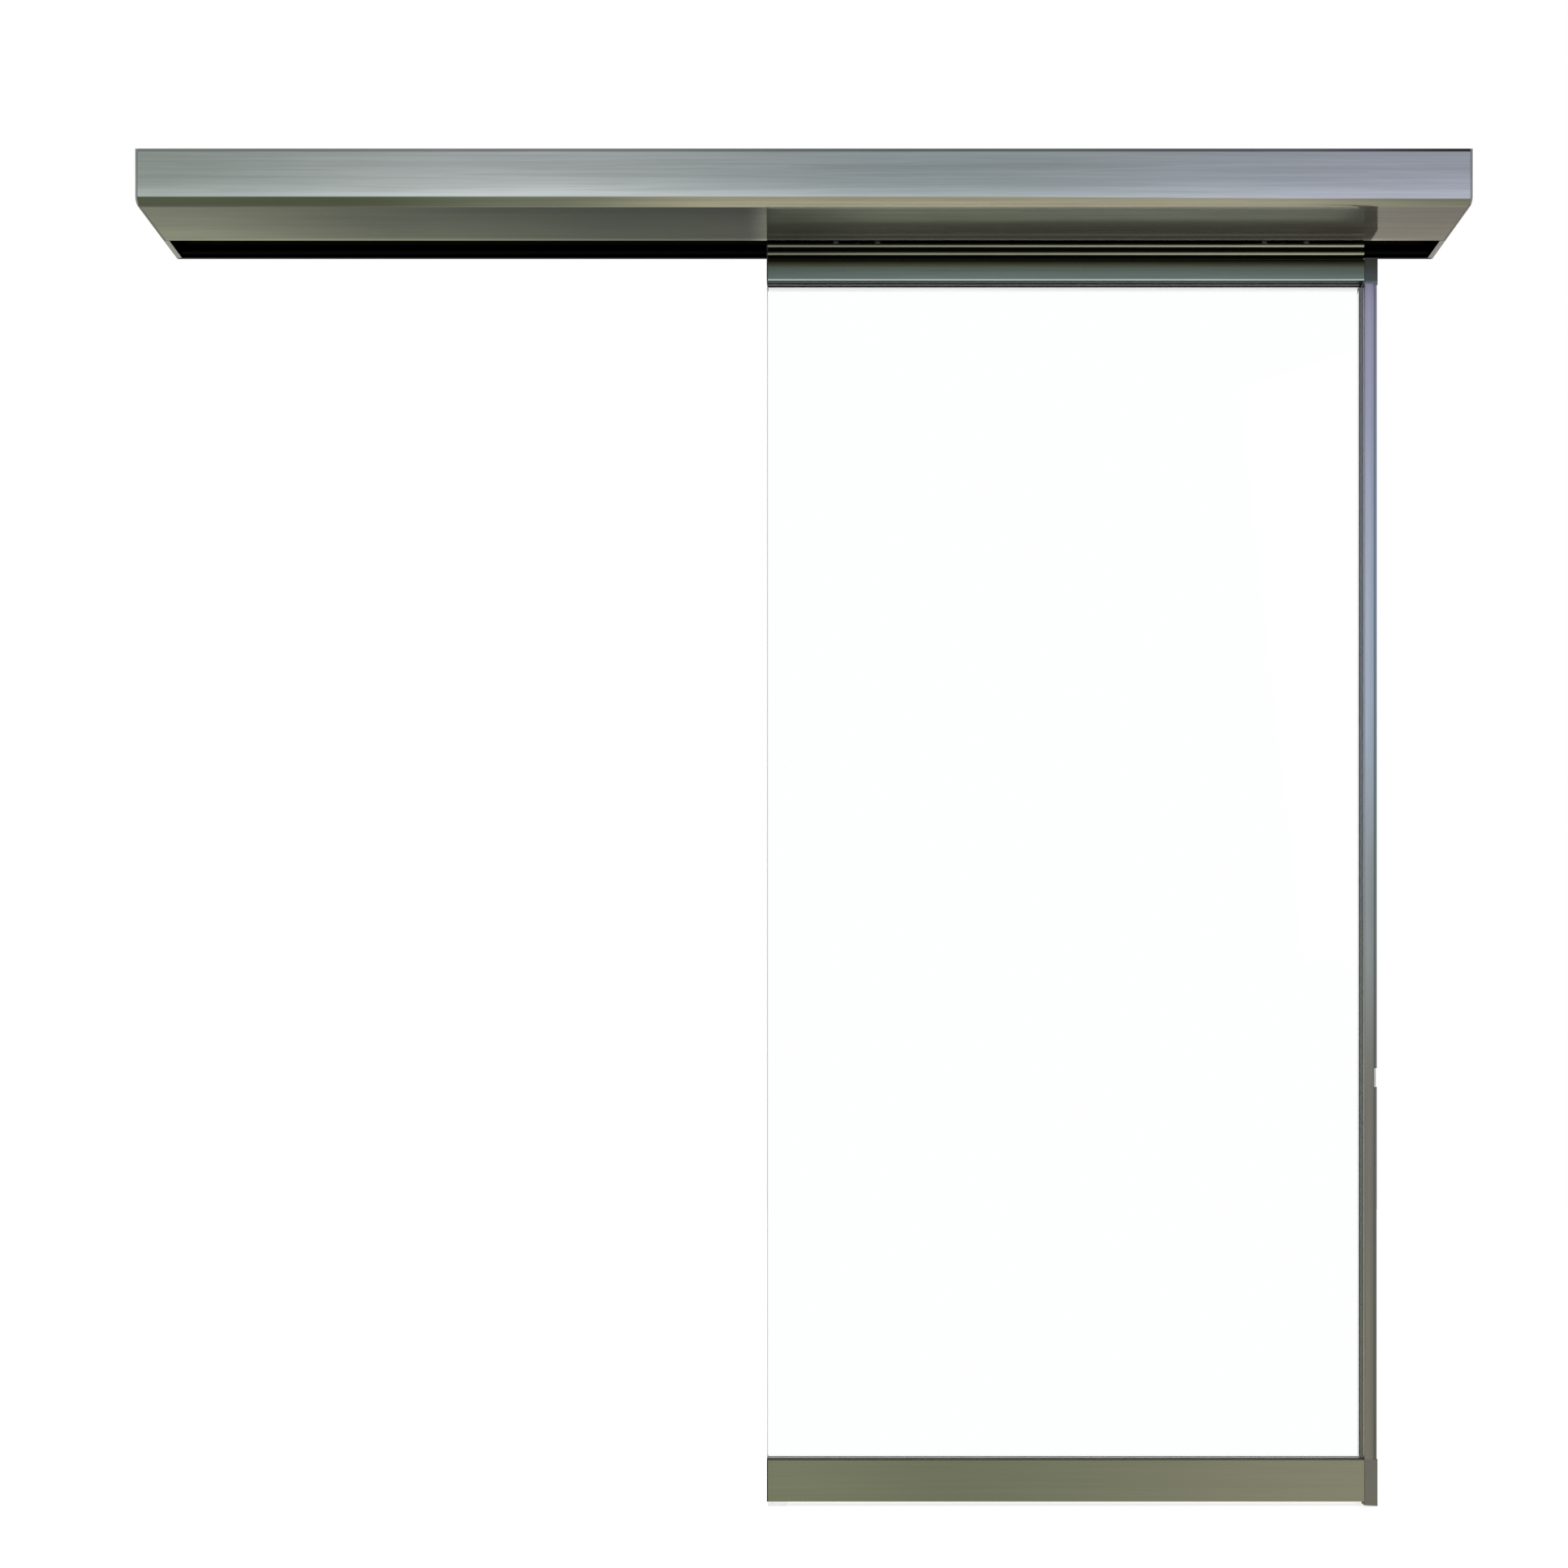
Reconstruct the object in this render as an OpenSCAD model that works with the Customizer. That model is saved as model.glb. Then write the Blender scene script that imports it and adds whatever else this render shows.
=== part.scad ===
// Single-leaf automatic sliding door: a wall-mounted operator header and a glazed leaf hung from two carriages.
// X runs along the header, Y into the wall and Z up. The origin is the centre of the wall fixings, on the wall face.
// The leaf is drawn closed, at the right-hand end of its travel.

/* [Header] */
// Height of the header casing
header_h = 86; // [84:1:100]
// Depth of the header from the wall to its front face
header_d = 166; // [162:1:190]
// Gap between the wall and the soffit edge that the leaf hangs in
slot_d = 57; // [55:0.5:60]
// Outer radius of the cover's lower front edge
corner_r = 10; // [5:1:16]
// Sheet thickness of the front cover
cover_t = 2; // [1.5:0.1:3]
// Height of the cover's upturned edge along the slot
lip_h = 9; // [5:0.5:10]
// Thickness of the end plates
end_t = 3; // [2:0.5:5]
// Wall thickness of the carrier's back
carrier_t = 4; // [3:0.5:6]
// Thickness of the carrier's top web
top_web_t = 4; // [3:0.5:5]
// Width of the end plates' foot beside the slot
end_foot_w = 9; // [6:0.5:10]
// Free length between the parked leaf and the header's end
park_gap = 18; // [14:1:60]
// Length of the header beyond the closed leaf
lead_gap = 108; // [100:1:200]
// Radius of the hinge bead that the cover hangs on
bead_r = 2.5; // [2:0.1:2.8]

/* [Fixings] */
// Radius of the wall fixing holes
fix_r = 3.3; // [2.5:0.1:3.6]
// Distance between the upper and lower rows of fixing holes
fix_rows = 22; // [18:1:22]
// Height of the lower row above the soffit
fix_low = 45; // [44:0.5:46]
// Distance from the header's ends to the outer fixing holes
fix_end = 101; // [80:1:140]
// Bore radius of the cable grommet
cable_r = 5; // [3:0.5:7]
// Height of the cable grommet above the soffit
cable_h = 61; // [58:1:62]

/* [Leaf] */
// Width of the leaf
leaf_w = 1016; // [800:1:1300]
// Thickness of the leaf's rails
leaf_t = 40; // [38:1:42]
// Clear height from the floor to the soffit
passage_h = 2100; // [1900:5:2600]
// Gap under the leaf
floor_gap = 10; // [8:1:16]
// Gap between the wall and the back of the leaf
wall_gap = 7; // [6:0.5:9]
// Overlap of the leaf past each side of the opening, taken off the travel
overlap = 36; // [28:1:60]
// Glass thickness
glass_t = 10; // [8:1:12]
// Height of the top rail's lower clamp
clamp_h = 35; // [32:1:50]
// Height of the top rail's ribbed neck
neck_h = 28.6; // [28:0.2:34]
// Height of the top rail's crest above the soffit
rail_rise = 3; // [2:0.5:4]
// Height of the bottom rail
base_rail_h = 70; // [64:1:100]
// Width of the leading stile with its nose seal
stile_w = 23; // [19:1:40]
// Thickness of the nose seal on the leading edge
nose_t = 6; // [5:0.5:10]
// Wall thickness of the leaf's hollow profiles
profile_t = 2.5; // [2:0.1:3]
// Height of the edge keeper above the floor
keeper_h = 715; // [500:5:1200]

/* [Running gear] */
// Rolling radius of the carriage wheels
wheel_r = 17; // [15:0.5:17.5]
// Width of the carriage wheels
wheel_w = 11; // [9.5:0.5:12]
// Height of the running rail's crown above the soffit
crown_h = 42; // [40:1:44]
// Radius of the running rail's round crown
crown_r = 4; // [3:0.25:4.25]
// Distance from the wall to the running rail's centre
rail_d = 22; // [20:0.5:23]
// Length of a carriage
carriage_len = 170; // [150:1:220]
// Distance between a carriage's wheels
wheel_base = 120; // [90:1:124]
// Distance from the leaf's ends to the carriage centres
carriage_inset = 150; // [100:1:240]
// Thickness of the carriage plates
plate_t = 6; // [4:0.5:7]
// Radius of the counter rollers under the track
counter_r = 7; // [5:0.5:7.5]
// Radius of the wheel axles
axle_r = 4; // [3:0.25:5]

/* [Drive] */
// Belt pitch
pitch = 8; // [5:1:8]
// Teeth on each pulley
pulley_teeth = 18; // [14:2:18]
// Belt width
belt_w = 12; // [9:1:14]
// Distance from the wall to the belt's centre
belt_d = 68; // [67:0.5:69]
// Radius of the motor can
motor_r = 25; // [20:1:25]
// Length of the motor can
motor_len = 190; // [120:1:220]
// Radius of the gearbox output shaft
shaft_r = 6; // [4:0.5:8]
// Radius of the idler's axle
idler_axle_r = 5; // [4:0.5:7]
// Distance from the wall to the rear component channel
rear_channel_d = 100; // [98:1:102]
// Distance from the header's front to the front component channel
front_channel_in = 26; // [24:1:30]
// Length of the control unit
control_len = 310; // [240:5:340]
// Length of the power supply
supply_len = 220; // [180:5:240]
// Length of the battery pack
battery_len = 170; // [120:5:200]
// Gap between the boxes beside the motor
box_gap = 30; // [15:1:40]

/* [Clearances] */
// Radial running clearance of rollers and pulleys on their axles
run_c = 0.05; // [0.02:0.01:0.1]
// Gap between parts that pass each other
part_c = 0.3; // [0.2:0.05:0.4]
// Gap between the wheel tread and the rail's crown
tread_c = 0.08; // [0.05:0.01:0.1]

/* [Hidden] */
$fn = 48;

// Heights
soffit_z = -(fix_low + fix_rows / 2);
top_z = soffit_z + header_h;
web_z = top_z - top_web_t;
floor_z = soffit_z - passage_h;
leaf_bottom_z = floor_z + floor_gap;

// Lengths along the header
travel = leaf_w - overlap;
header_len = park_gap + travel + leaf_w + lead_gap;
half_len = header_len / 2;
inner_half = half_len - end_t;
profile_len = 2 * inner_half;
lead_x = half_len - lead_gap;
leaf_x = lead_x - leaf_w;
fix_x = half_len - fix_end;
cable_x = half_len - 60;
carriage_x = [leaf_x + carriage_inset, lead_x - carriage_inset];

// Depths from the wall are negative Y
leaf_y = -(wall_gap + leaf_t / 2);
rail_y = -rail_d;
belt_y = -belt_d;

// Component channels under the top web
channel_w = 16;
channel_h = 8;
channel_lip = 1.8;
channel_mouth = 6.6;
channel_y = [-rear_channel_d, -header_d + front_channel_in];
hang_z = web_z - channel_h;

// Cover hinge along the top front edge
hinge_gap = 0.3;
hook_t = 1.6;
hook_weld = 0.4;
hinge_y = -header_d + cover_t + hook_t + hinge_gap + bead_r - hook_weld;
hinge_z = top_z - hook_t - hinge_gap - bead_r;
hook_r = bead_r + hinge_gap + hook_t;
web_front_y = hinge_y + hook_r + 0.6;
neck_t = 2;

// Running rail and its arm
arm_t = 5;
damper_t = 0.8;
crown_z = soffit_z + crown_h;
crown_centre_z = crown_z - crown_r;
rail_foot_h = crown_r + 0.4;
arm_top_z = crown_centre_z - rail_foot_h - damper_t;
arm_z = arm_top_z - arm_t;
keep_t = 1.8;
keep_h = 3;
arm_front_y = rail_y - crown_r - keep_t - part_c / 2;
arm_fillet = 6;

// Screw ports for the end plates
port_r = 2.1;
port_boss_r = 4.2;
ports = [
    [-carrier_t - 3, top_z - top_web_t - 3],
    [-carrier_t - 3, soffit_z + 9],
    [(channel_y[0] + channel_y[1]) / 2, web_z - 3]
];

// Wheels
tread_depth = 2.5;
wheel_z = crown_z + wheel_r;
bearing_r = 11;
wheel_y = [rail_y - wheel_w / 2, rail_y + wheel_w / 2];
nut_h = 6.5;
nut_af = 13;
plate_back_y = min(wheel_y[0] - 5, leaf_y - nut_af / 2 - 1);
plate_front_y = plate_back_y - plate_t;
plate_top_z = wheel_z + 12;
counter_z = arm_z - part_c - counter_r;
counter_w = 8;

// Hanger bolts and the carriage foot
bolt_r = 4;
foot_t = 6;
rail_top_z = soffit_z + rail_rise;
foot_z = rail_top_z + nut_h;
foot_back_y = leaf_y + 13;
hanger_dx = 35;

// Leaf
clamp_z = rail_top_z - neck_h - clamp_h;
base_top_z = leaf_bottom_z + base_rail_h;
channel_half = glass_t / 2 + 3;
channel_deep = 27;
gasket_end_t = 2;
glass_bottom_z = base_top_z - channel_deep + gasket_end_t;
glass_top_z = clamp_z + channel_deep - gasket_end_t;
stile_x = lead_x - stile_w;
stile_front_x = lead_x - nose_t;
stile_channel = stile_w - nose_t - 4;
glass_end_x = stile_x + stile_channel - gasket_end_t;
cap_t = 2;
block_drop = 5.5;
foot_drop = [0.6 * floor_gap, 0.75 * floor_gap];
guide_half = 6;
guide_deep = 30;
bead_half = 3.2;
bead_z = [rail_top_z - 4.7, rail_top_z - 17.8];
neck_half = 15.5;
edge_r = 3;
guide_x = [leaf_x + 1, lead_x - travel - 1];
guide_base_t = floor_gap - foot_drop[1] - 0.5;
cap_rise = 1.2;
guide_hole_x = [guide_x[0] + 6, guide_x[1] - 6];
guide_hole_y = 9.5;
keeper_len = 30;
keeper_w = 12;
keeper_z = floor_z + keeper_h;

// Pulleys and belt
belt_back = 2.2;
tooth_h = 0.42 * pitch;
pitch_r = pulley_teeth * pitch / (2 * PI);
land_r = pitch_r - 0.69;
belt_gap = 0.1;
tooth_step = 360 / pulley_teeth;
drive_x = half_len - 85;
idler_room = 60;
belt_steps = floor((drive_x + half_len - idler_room) / pitch);
idler_x = drive_x - belt_steps * pitch;
flange_t = 1.5;
flange_r = land_r + belt_back + 2.6;
pulley_w = belt_w + 1;
bracket_t = 3.5;
pulley_z = hang_z - bracket_t - 1.5 - flange_r;
flange_y = [belt_y - pulley_w / 2 - flange_t, belt_y + pulley_w / 2 + flange_t];
belt_under_z = pulley_z - land_r - belt_gap - belt_back;
belt_tooth_z = pulley_z - land_r - belt_gap + tooth_h;

// Gear motor
screw_head_h = 4;
gear_face_y = flange_y[0] - 2 - bracket_t;
gear_w = 70;
gear_d = 52;
gear_h = 2 * motor_r + 4;
motor_y = gear_face_y - gear_d / 2;
gear_x0 = drive_x - gear_w / 2 - 4;
motor_z = hang_z - bracket_t - screw_head_h - motor_r - 2;

// Electronics boxes
motor_bolt_x = [gear_x0 - 10, gear_x0 + gear_w + 15];
case_back_y = gear_face_y - 4;
case_front_y = -header_d + cover_t + 8;
case_z = soffit_z + 14;
control_end_x = gear_x0 - motor_len - 3 * box_gap;
control_x = [control_end_x - control_len, control_end_x];
supply_x = [control_x[0] - box_gap - supply_len, control_x[0] - box_gap];
battery_x = [supply_x[0] - box_gap - battery_len, supply_x[0] - box_gap];
terminal_bay = 150;
terminal_step = 11.5;
vent_step = 14;

// Stops
buffer_len = 12;
stop_len = 24;
stop_face = [
    carriage_x[0] - carriage_len / 2 - travel - part_c,
    carriage_x[1] + carriage_len / 2 + part_c
];
stop_z = wheel_z - 8;

// Belt clamp
clamp_x = carriage_x[1] - 42;
clamp_len = 40;
clamp_half = belt_w / 2 + 5.5;
arm_leg_t = 3;
screw_r = 2;

// Drawing helpers
module rect(y0, y1, z0, z1) {
    translate([y0, z0]) square([y1 - y0, z1 - z0]);
}

module block(x0, x1, y0, y1, z0, z1) {
    translate([x0, y0, z0]) cube([x1 - x0, y1 - y0, z1 - z0]);
}

module along_x(x0, x1) {
    translate([x0, 0, 0]) rotate([90, 0, 90]) linear_extrude(x1 - x0) children();
}

module along_y(y0, y1) {
    translate([0, y1, 0]) rotate([90, 0, 0]) linear_extrude(y1 - y0) children();
}

module bar_x(x0, x1, y, z, r) {
    translate([x0, y, z]) rotate([0, 90, 0]) cylinder(h = x1 - x0, r = r);
}

module bar_y(x, y0, y1, z, r) {
    translate([x, y0, z]) rotate([-90, 0, 0]) cylinder(h = y1 - y0, r = r);
}

module hex_x(x0, x1, y, z, af) {
    translate([x0, y, z]) rotate([0, 90, 0]) cylinder(h = x1 - x0, r = af / sqrt(3), $fn = 6);
}

module hex_z(x, y, z0, z1, af) {
    translate([x, y, z0]) cylinder(h = z1 - z0, r = af / sqrt(3), $fn = 6);
}

module round_rect(x0, x1, y0, y1, r) {
    translate([x0 + r, y0]) square([x1 - x0 - 2 * r, y1 - y0]);
    translate([x0, y0 + r]) square([x1 - x0, y1 - y0 - 2 * r]);
    for (x = [x0 + r, x1 - r], y = [y0 + r, y1 - r]) translate([x, y]) circle(r);
}

// Header casing
module header_outline() {
    rect(-header_d, 0, soffit_z + corner_r, top_z);
    rect(-header_d + corner_r, 0, soffit_z, top_z);
    translate([-header_d + corner_r, soffit_z + corner_r]) circle(corner_r);
}

module component_channel(y) {
    rect(y - channel_w / 2, y + channel_w / 2, hang_z, web_z + 1);
}

module channel_cavity(y) {
    rect(y - channel_w / 2 + channel_lip, y + channel_w / 2 - channel_lip, hang_z + channel_lip, web_z);
    rect(y - channel_mouth / 2, y + channel_mouth / 2, hang_z - 1, web_z);
}

module track_arm() {
    wall_y = -carrier_t;
    polygon([
        [wall_y + 1, arm_top_z + arm_fillet + 1],
        [wall_y, arm_top_z + arm_fillet],
        [wall_y - arm_fillet, arm_top_z],
        [arm_front_y, arm_top_z],
        [arm_front_y, arm_z],
        [wall_y - arm_fillet, arm_z],
        [wall_y, arm_z - arm_fillet],
        [wall_y + 1, arm_z - arm_fillet - 1]
    ]);
    for (side = [-1, 1]) {
        y = rail_y + side * (crown_r + keep_t / 2 + part_c / 2);
        rect(y - keep_t / 2, y + keep_t / 2, arm_top_z - 1, arm_top_z + keep_h);
    }
}

module carrier_section() {
    difference() {
        union() {
            rect(-carrier_t, 0, soffit_z, top_z);
            rect(web_front_y, 0, web_z, top_z);
            rect(hinge_y, web_front_y + 6, hinge_z - neck_t / 2, hinge_z + neck_t / 2);
            rect(web_front_y, web_front_y + 6, hinge_z - neck_t / 2, web_z + 1);
            translate([hinge_y, hinge_z]) circle(bead_r);
            for (y = channel_y) component_channel(y);
            track_arm();
            for (p = ports) translate(p) circle(port_boss_r);
        }
        for (y = channel_y) channel_cavity(y);
        for (p = ports) translate(p) circle(port_r);
    }
}

module carrier_profile() {
    color("#8d9390") difference() {
        along_x(-inner_half, inner_half) carrier_section();
        for (x = [-fix_x, -fix_x / 3, fix_x / 3, fix_x], z = [-fix_rows / 2, fix_rows / 2])
            bar_y(x, -carrier_t - 1, 1, z, fix_r);
        bar_y(cable_x, -carrier_t - 1, 1, soffit_z + cable_h, cable_r + 3);
    }
}

module cable_grommet() {
    z = soffit_z + cable_h;
    lip = 1.5;
    color("#1d1e1e") difference() {
        union() {
            bar_y(cable_x, -carrier_t, 0, z, cable_r + 3);
            bar_y(cable_x, -carrier_t - lip, -carrier_t, z, cable_r + 5);
        }
        bar_y(cable_x, -carrier_t - lip - 1, 1, z, cable_r);
    }
}

module running_rail() {
    color("#b9bcbd") along_x(-inner_half + 2, inner_half - 2) {
        rect(rail_y - crown_r, rail_y + crown_r, arm_top_z + damper_t, crown_centre_z);
        translate([rail_y, crown_centre_z]) circle(crown_r);
    }
}

module rail_damping_strip() {
    color("#222222") along_x(-inner_half + 2, inner_half - 2)
        rect(rail_y - crown_r, rail_y + crown_r, arm_top_z, arm_top_z + damper_t);
}

module end_plate(side) {
    x = side * (half_len - end_t / 2);
    foot_x = side * (half_len - end_foot_w);
    color("#878d8a") difference() {
        union() {
            along_x(x - end_t / 2, x + end_t / 2) header_outline();
            block(min(x, foot_x), max(x, foot_x), -slot_d + 2 * part_c, -carrier_t, soffit_z, soffit_z + end_t);
        }
        for (p = ports) bar_x(x - end_t, x + end_t, p[0], p[1], port_r);
    }
}

module end_plate_screws() {
    head_r = 3.6;
    head_t = 1.6;
    depth = 12;
    color("#c6c8c9") for (side = [-1, 1], p = ports) {
        x = side * half_len;
        out = side * head_t;
        bar_x(min(x, x + out), max(x, x + out), p[0], p[1], head_r);
        bar_x(min(x, x - side * depth), max(x, x - side * depth), p[0], p[1], port_r);
    }
}

module cover_section() {
    inner_r = corner_r - cover_t;
    centre = [-header_d + corner_r, soffit_z + corner_r];
    difference() {
        union() {
            rect(-header_d, -header_d + cover_t, centre[1], top_z);
            intersection() {
                translate(centre) difference() {
                    circle(corner_r);
                    circle(inner_r);
                }
                rect(-header_d, centre[0], soffit_z, centre[1]);
            }
            rect(centre[0], -slot_d, soffit_z, soffit_z + cover_t);
            rect(-slot_d - cover_t, -slot_d, soffit_z, soffit_z + lip_h);
            translate([hinge_y, hinge_z]) circle(hook_r);
            rect(-header_d + cover_t / 2, hinge_y, hinge_z - hook_r + hook_weld, hinge_z - bead_r - 0.1);
        }
        translate([hinge_y, hinge_z]) {
            circle(bead_r + hinge_gap);
            polygon([[0, 0], 14 * [cos(-28), sin(-28)], 14 * [cos(45), sin(45)], 14 * [cos(120), sin(120)]]);
        }
    }
}

module front_cover() {
    end_gap = 0.5;
    color("#98a09f") along_x(-inner_half + end_gap, inner_half - end_gap) cover_section();
}

module cover_clips() {
    clip_w = 9;
    clip_t = 1.2;
    rear_y = -slot_d + part_c;
    roof_z = soffit_z + lip_h + part_c;
    color("#b4b6b8") for (side = [-1, 1]) {
        x0 = side > 0 ? inner_half - clip_w : -inner_half;
        along_x(x0, x0 + clip_w) {
            rect(rear_y, rear_y + clip_t, soffit_z + end_t, roof_z + clip_t);
            rect(-slot_d - cover_t - 6, rear_y + clip_t, roof_z, roof_z + clip_t);
        }
    }
}

// Running gear
module carriage_plate(x) {
    half = carriage_len / 2;
    pad_len = half - 18 - 14;
    color("#a7abad") translate([x, 0, 0]) difference() {
        union() {
            along_y(plate_front_y, plate_back_y) round_rect(-half, half, foot_z, plate_top_z, 6);
            for (side = [-1, 1]) translate([side * (half - 18 + 14) / 2, 0, 0])
                block(-pad_len / 2, pad_len / 2, plate_back_y - 0.01, foot_back_y, foot_z, foot_z + foot_t);
            for (dx = [-18, 18]) translate([dx, 0, 0]) along_x(-2, 2) polygon([
                [plate_back_y - 0.01, foot_z + foot_t - 0.01],
                [foot_back_y - 6, foot_z + foot_t - 0.01],
                [plate_back_y - 0.01, foot_z + foot_t + 12]
            ]);
        }
        for (dx = [-wheel_base / 2, wheel_base / 2])
            bar_y(dx, plate_front_y - 1, plate_back_y + 1, wheel_z, axle_r);
        bar_y(0, plate_front_y - 1, plate_back_y + 1, counter_z, 2.5);
        for (dx = [-hanger_dx, hanger_dx])
            translate([dx, leaf_y, foot_z - 1]) cylinder(h = foot_t + 2, r = bolt_r + 0.4);
        along_y(plate_front_y - 1, plate_back_y + 1)
            round_rect(-22, 22, counter_z + 14, plate_top_z - 12, 5);
    }
}

module axle(x, z, r, face_y, far_y) {
    collar_t = 1.8;
    bar_y(x, plate_front_y - 4, plate_front_y, z, r + 2.6);
    bar_y(x, plate_front_y - 2, plate_back_y + 1, z, r);
    bar_y(x, plate_back_y, face_y - part_c, z, r + 2);
    bar_y(x, plate_back_y + 1, far_y + part_c + 1, z, r - run_c);
    bar_y(x, far_y + part_c, far_y + part_c + collar_t, z, r + 1.8);
}

module wheel_axles(x) {
    color("#8a8d90") {
        for (dx = [-wheel_base / 2, wheel_base / 2])
            axle(x + dx, wheel_z, axle_r, wheel_y[0], wheel_y[1]);
        axle(x, counter_z, 2.5, rail_y - counter_w / 2, rail_y + counter_w / 2);
    }
}

module wheel(x) {
    color("#2b2c2e") translate([x, rail_y, wheel_z]) rotate([90, 0, 0]) rotate_extrude() difference() {
        translate([bearing_r, -wheel_w / 2]) square([wheel_r + tread_depth - bearing_r, wheel_w]);
        translate([wheel_r + crown_r, 0]) circle(crown_r + tread_c);
    }
    color("#c2c4c6") translate([x, rail_y, wheel_z]) rotate([90, 0, 0]) rotate_extrude() difference() {
        translate([axle_r, -wheel_w / 2]) square([bearing_r - axle_r, wheel_w]);
        for (side = [-1, 1]) translate([(axle_r + bearing_r) / 2, side * wheel_w / 2])
            square([3.6, 3], center = true);
    }
}

module counter_roller(x) {
    color("#2b2c2e") translate([x, rail_y, counter_z]) rotate([90, 0, 0]) difference() {
        cylinder(h = counter_w, r = counter_r, center = true);
        cylinder(h = counter_w + 2, r = 2.5, center = true);
    }
}

module hanger_bolts() {
    head_t = 5;
    color("#b9bbbd") for (cx = carriage_x, dx = [-hanger_dx, hanger_dx]) {
        hex_z(cx + dx, leaf_y, rail_top_z - 4 - head_t, rail_top_z - 4, nut_af - 0.2);
        translate([cx + dx, leaf_y, rail_top_z - 4 - 0.01])
            cylinder(h = foot_z + foot_t + nut_h + 1.5 - rail_top_z + 4, r = bolt_r);
    }
}

module hanger_nuts() {
    color("#c9cbcc") for (cx = carriage_x, dx = [-hanger_dx, hanger_dx]) for (z = [rail_top_z, foot_z + foot_t])
        difference() {
            hex_z(cx + dx, leaf_y, z, z + nut_h, nut_af);
            translate([cx + dx, leaf_y, z - 1]) cylinder(h = nut_h + 2, r = bolt_r);
        }
}

module stop_brackets() {
    color("#9ba0a2") for (side = [0, 1]) {
        dir = side == 0 ? -1 : 1;
        x0 = stop_face[side] + dir * buffer_len;
        x1 = x0 + dir * stop_len;
        difference() {
            block(min(x0, x1), max(x0, x1), plate_front_y - 4, -carrier_t, crown_z + 3, stop_z + 12);
            bar_y((x0 + x1) / 2, plate_front_y - 5, -carrier_t + 1, stop_z + 4, 2.6);
        }
    }
}

module stop_buffers() {
    y = (plate_front_y + plate_back_y) / 2;
    z = (crown_z + stop_z + 15) / 2;
    color("#191919") for (side = [0, 1]) {
        dir = side == 0 ? -1 : 1;
        x0 = stop_face[side];
        x1 = x0 + dir * buffer_len;
        bar_x(min(x0, x1), max(x0, x1), y, z, 7);
    }
}

// Toothed belt drive
function turn(r, a) = [r * cos(a), r * sin(a)];
function tooth_at(centre, a, r, w, h) = [
    centre + turn(r, a - asin(w / 2 / r)),
    centre + turn(r - h, a) - turn(w / 3, a + 90),
    centre + turn(r - h, a) + turn(w / 3, a + 90),
    centre + turn(r, a + asin(w / 2 / r))
];
function arc_teeth(centre, a0, r, w, h) = [
    for (i = [0 : pulley_teeth / 2 - 1]) each tooth_at(centre, a0 + (i + 0.5) * tooth_step, r, w, h)
];
function run_teeth(x0, dir, z, w, h) = [
    for (i = [0 : belt_steps - 1]) each [
        for (p = [[-w / 2, 0], [-w / 3, h], [w / 3, h], [w / 2, 0]])
            [x0 + dir * ((i + 0.5) * pitch + p[0]), z + dir * p[1]]
    ]
];
function half_round(centre, a0, r) = [for (a = [0 : 10 : 180]) centre + turn(r, a0 + a)];

belt_tooth_w = 0.58 * pitch;
drive_c = [drive_x, pulley_z];
idler_c = [idler_x, pulley_z];
land = land_r + belt_gap;

module toothed_belt() {
    outer = concat(
        half_round(drive_c, -90, land + belt_back),
        half_round(idler_c, 90, land + belt_back)
    );
    inner = concat(
        arc_teeth(drive_c, -90, land, belt_tooth_w, tooth_h),
        run_teeth(drive_x, -1, pulley_z + land, belt_tooth_w, tooth_h),
        arc_teeth(idler_c, 90, land, belt_tooth_w, tooth_h),
        run_teeth(idler_x, 1, pulley_z - land, belt_tooth_w, tooth_h)
    );
    color("#1b1b1c") along_y(belt_y - belt_w / 2, belt_y + belt_w / 2) difference() {
        polygon(outer);
        polygon(inner);
    }
}

module pulley_section() {
    gap_w = 0.755 * pitch;
    gap_h = 0.46 * pitch;
    rim = [
        for (i = [0 : pulley_teeth - 1]) each tooth_at([0, 0], (i + 0.5) * tooth_step - 90, land_r, gap_w, gap_h)
    ];
    polygon(rim);
}

module pulley(x, bore) {
    color("#b6b9bb") difference() {
        union() {
            translate([x, 0, pulley_z]) along_y(belt_y - pulley_w / 2, belt_y + pulley_w / 2) pulley_section();
            for (y = [flange_y[0], flange_y[1] - flange_t]) bar_y(x, y, y + flange_t, pulley_z, flange_r);
        }
        bar_y(x, flange_y[0] - 1, flange_y[1] + 1, pulley_z, bore);
    }
}

module drive_pulley() {
    pulley(drive_x, shaft_r);
}

module idler_pulley() {
    pulley(idler_x, idler_axle_r + run_c);
}

module output_shaft() {
    color("#9fa2a4") {
        bar_y(drive_x, gear_face_y - 10, flange_y[1], pulley_z, shaft_r);
        bar_y(drive_x, flange_y[1], flange_y[1] + 1.5, pulley_z, shaft_r + 3);
    }
}

module gearbox_housing() {
    z0 = motor_z - gear_h / 2;
    z1 = motor_z + gear_h / 2;
    color("#8b9092") difference() {
        union() {
            translate([0, gear_face_y - gear_d, 0]) along_y(0, gear_d)
                round_rect(gear_x0, gear_x0 + gear_w, z0, z1, 5);
            for (i = [0 : 5]) block(gear_x0 + 8 + i * 10, gear_x0 + 11 + i * 10,
                gear_face_y - gear_d - 3, gear_face_y - gear_d + 0.01, z0 + 8, z1 - 8);
        }
        bar_y(drive_x, gear_face_y - 12, gear_face_y + 1, pulley_z, shaft_r + run_c);
    }
}

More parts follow.
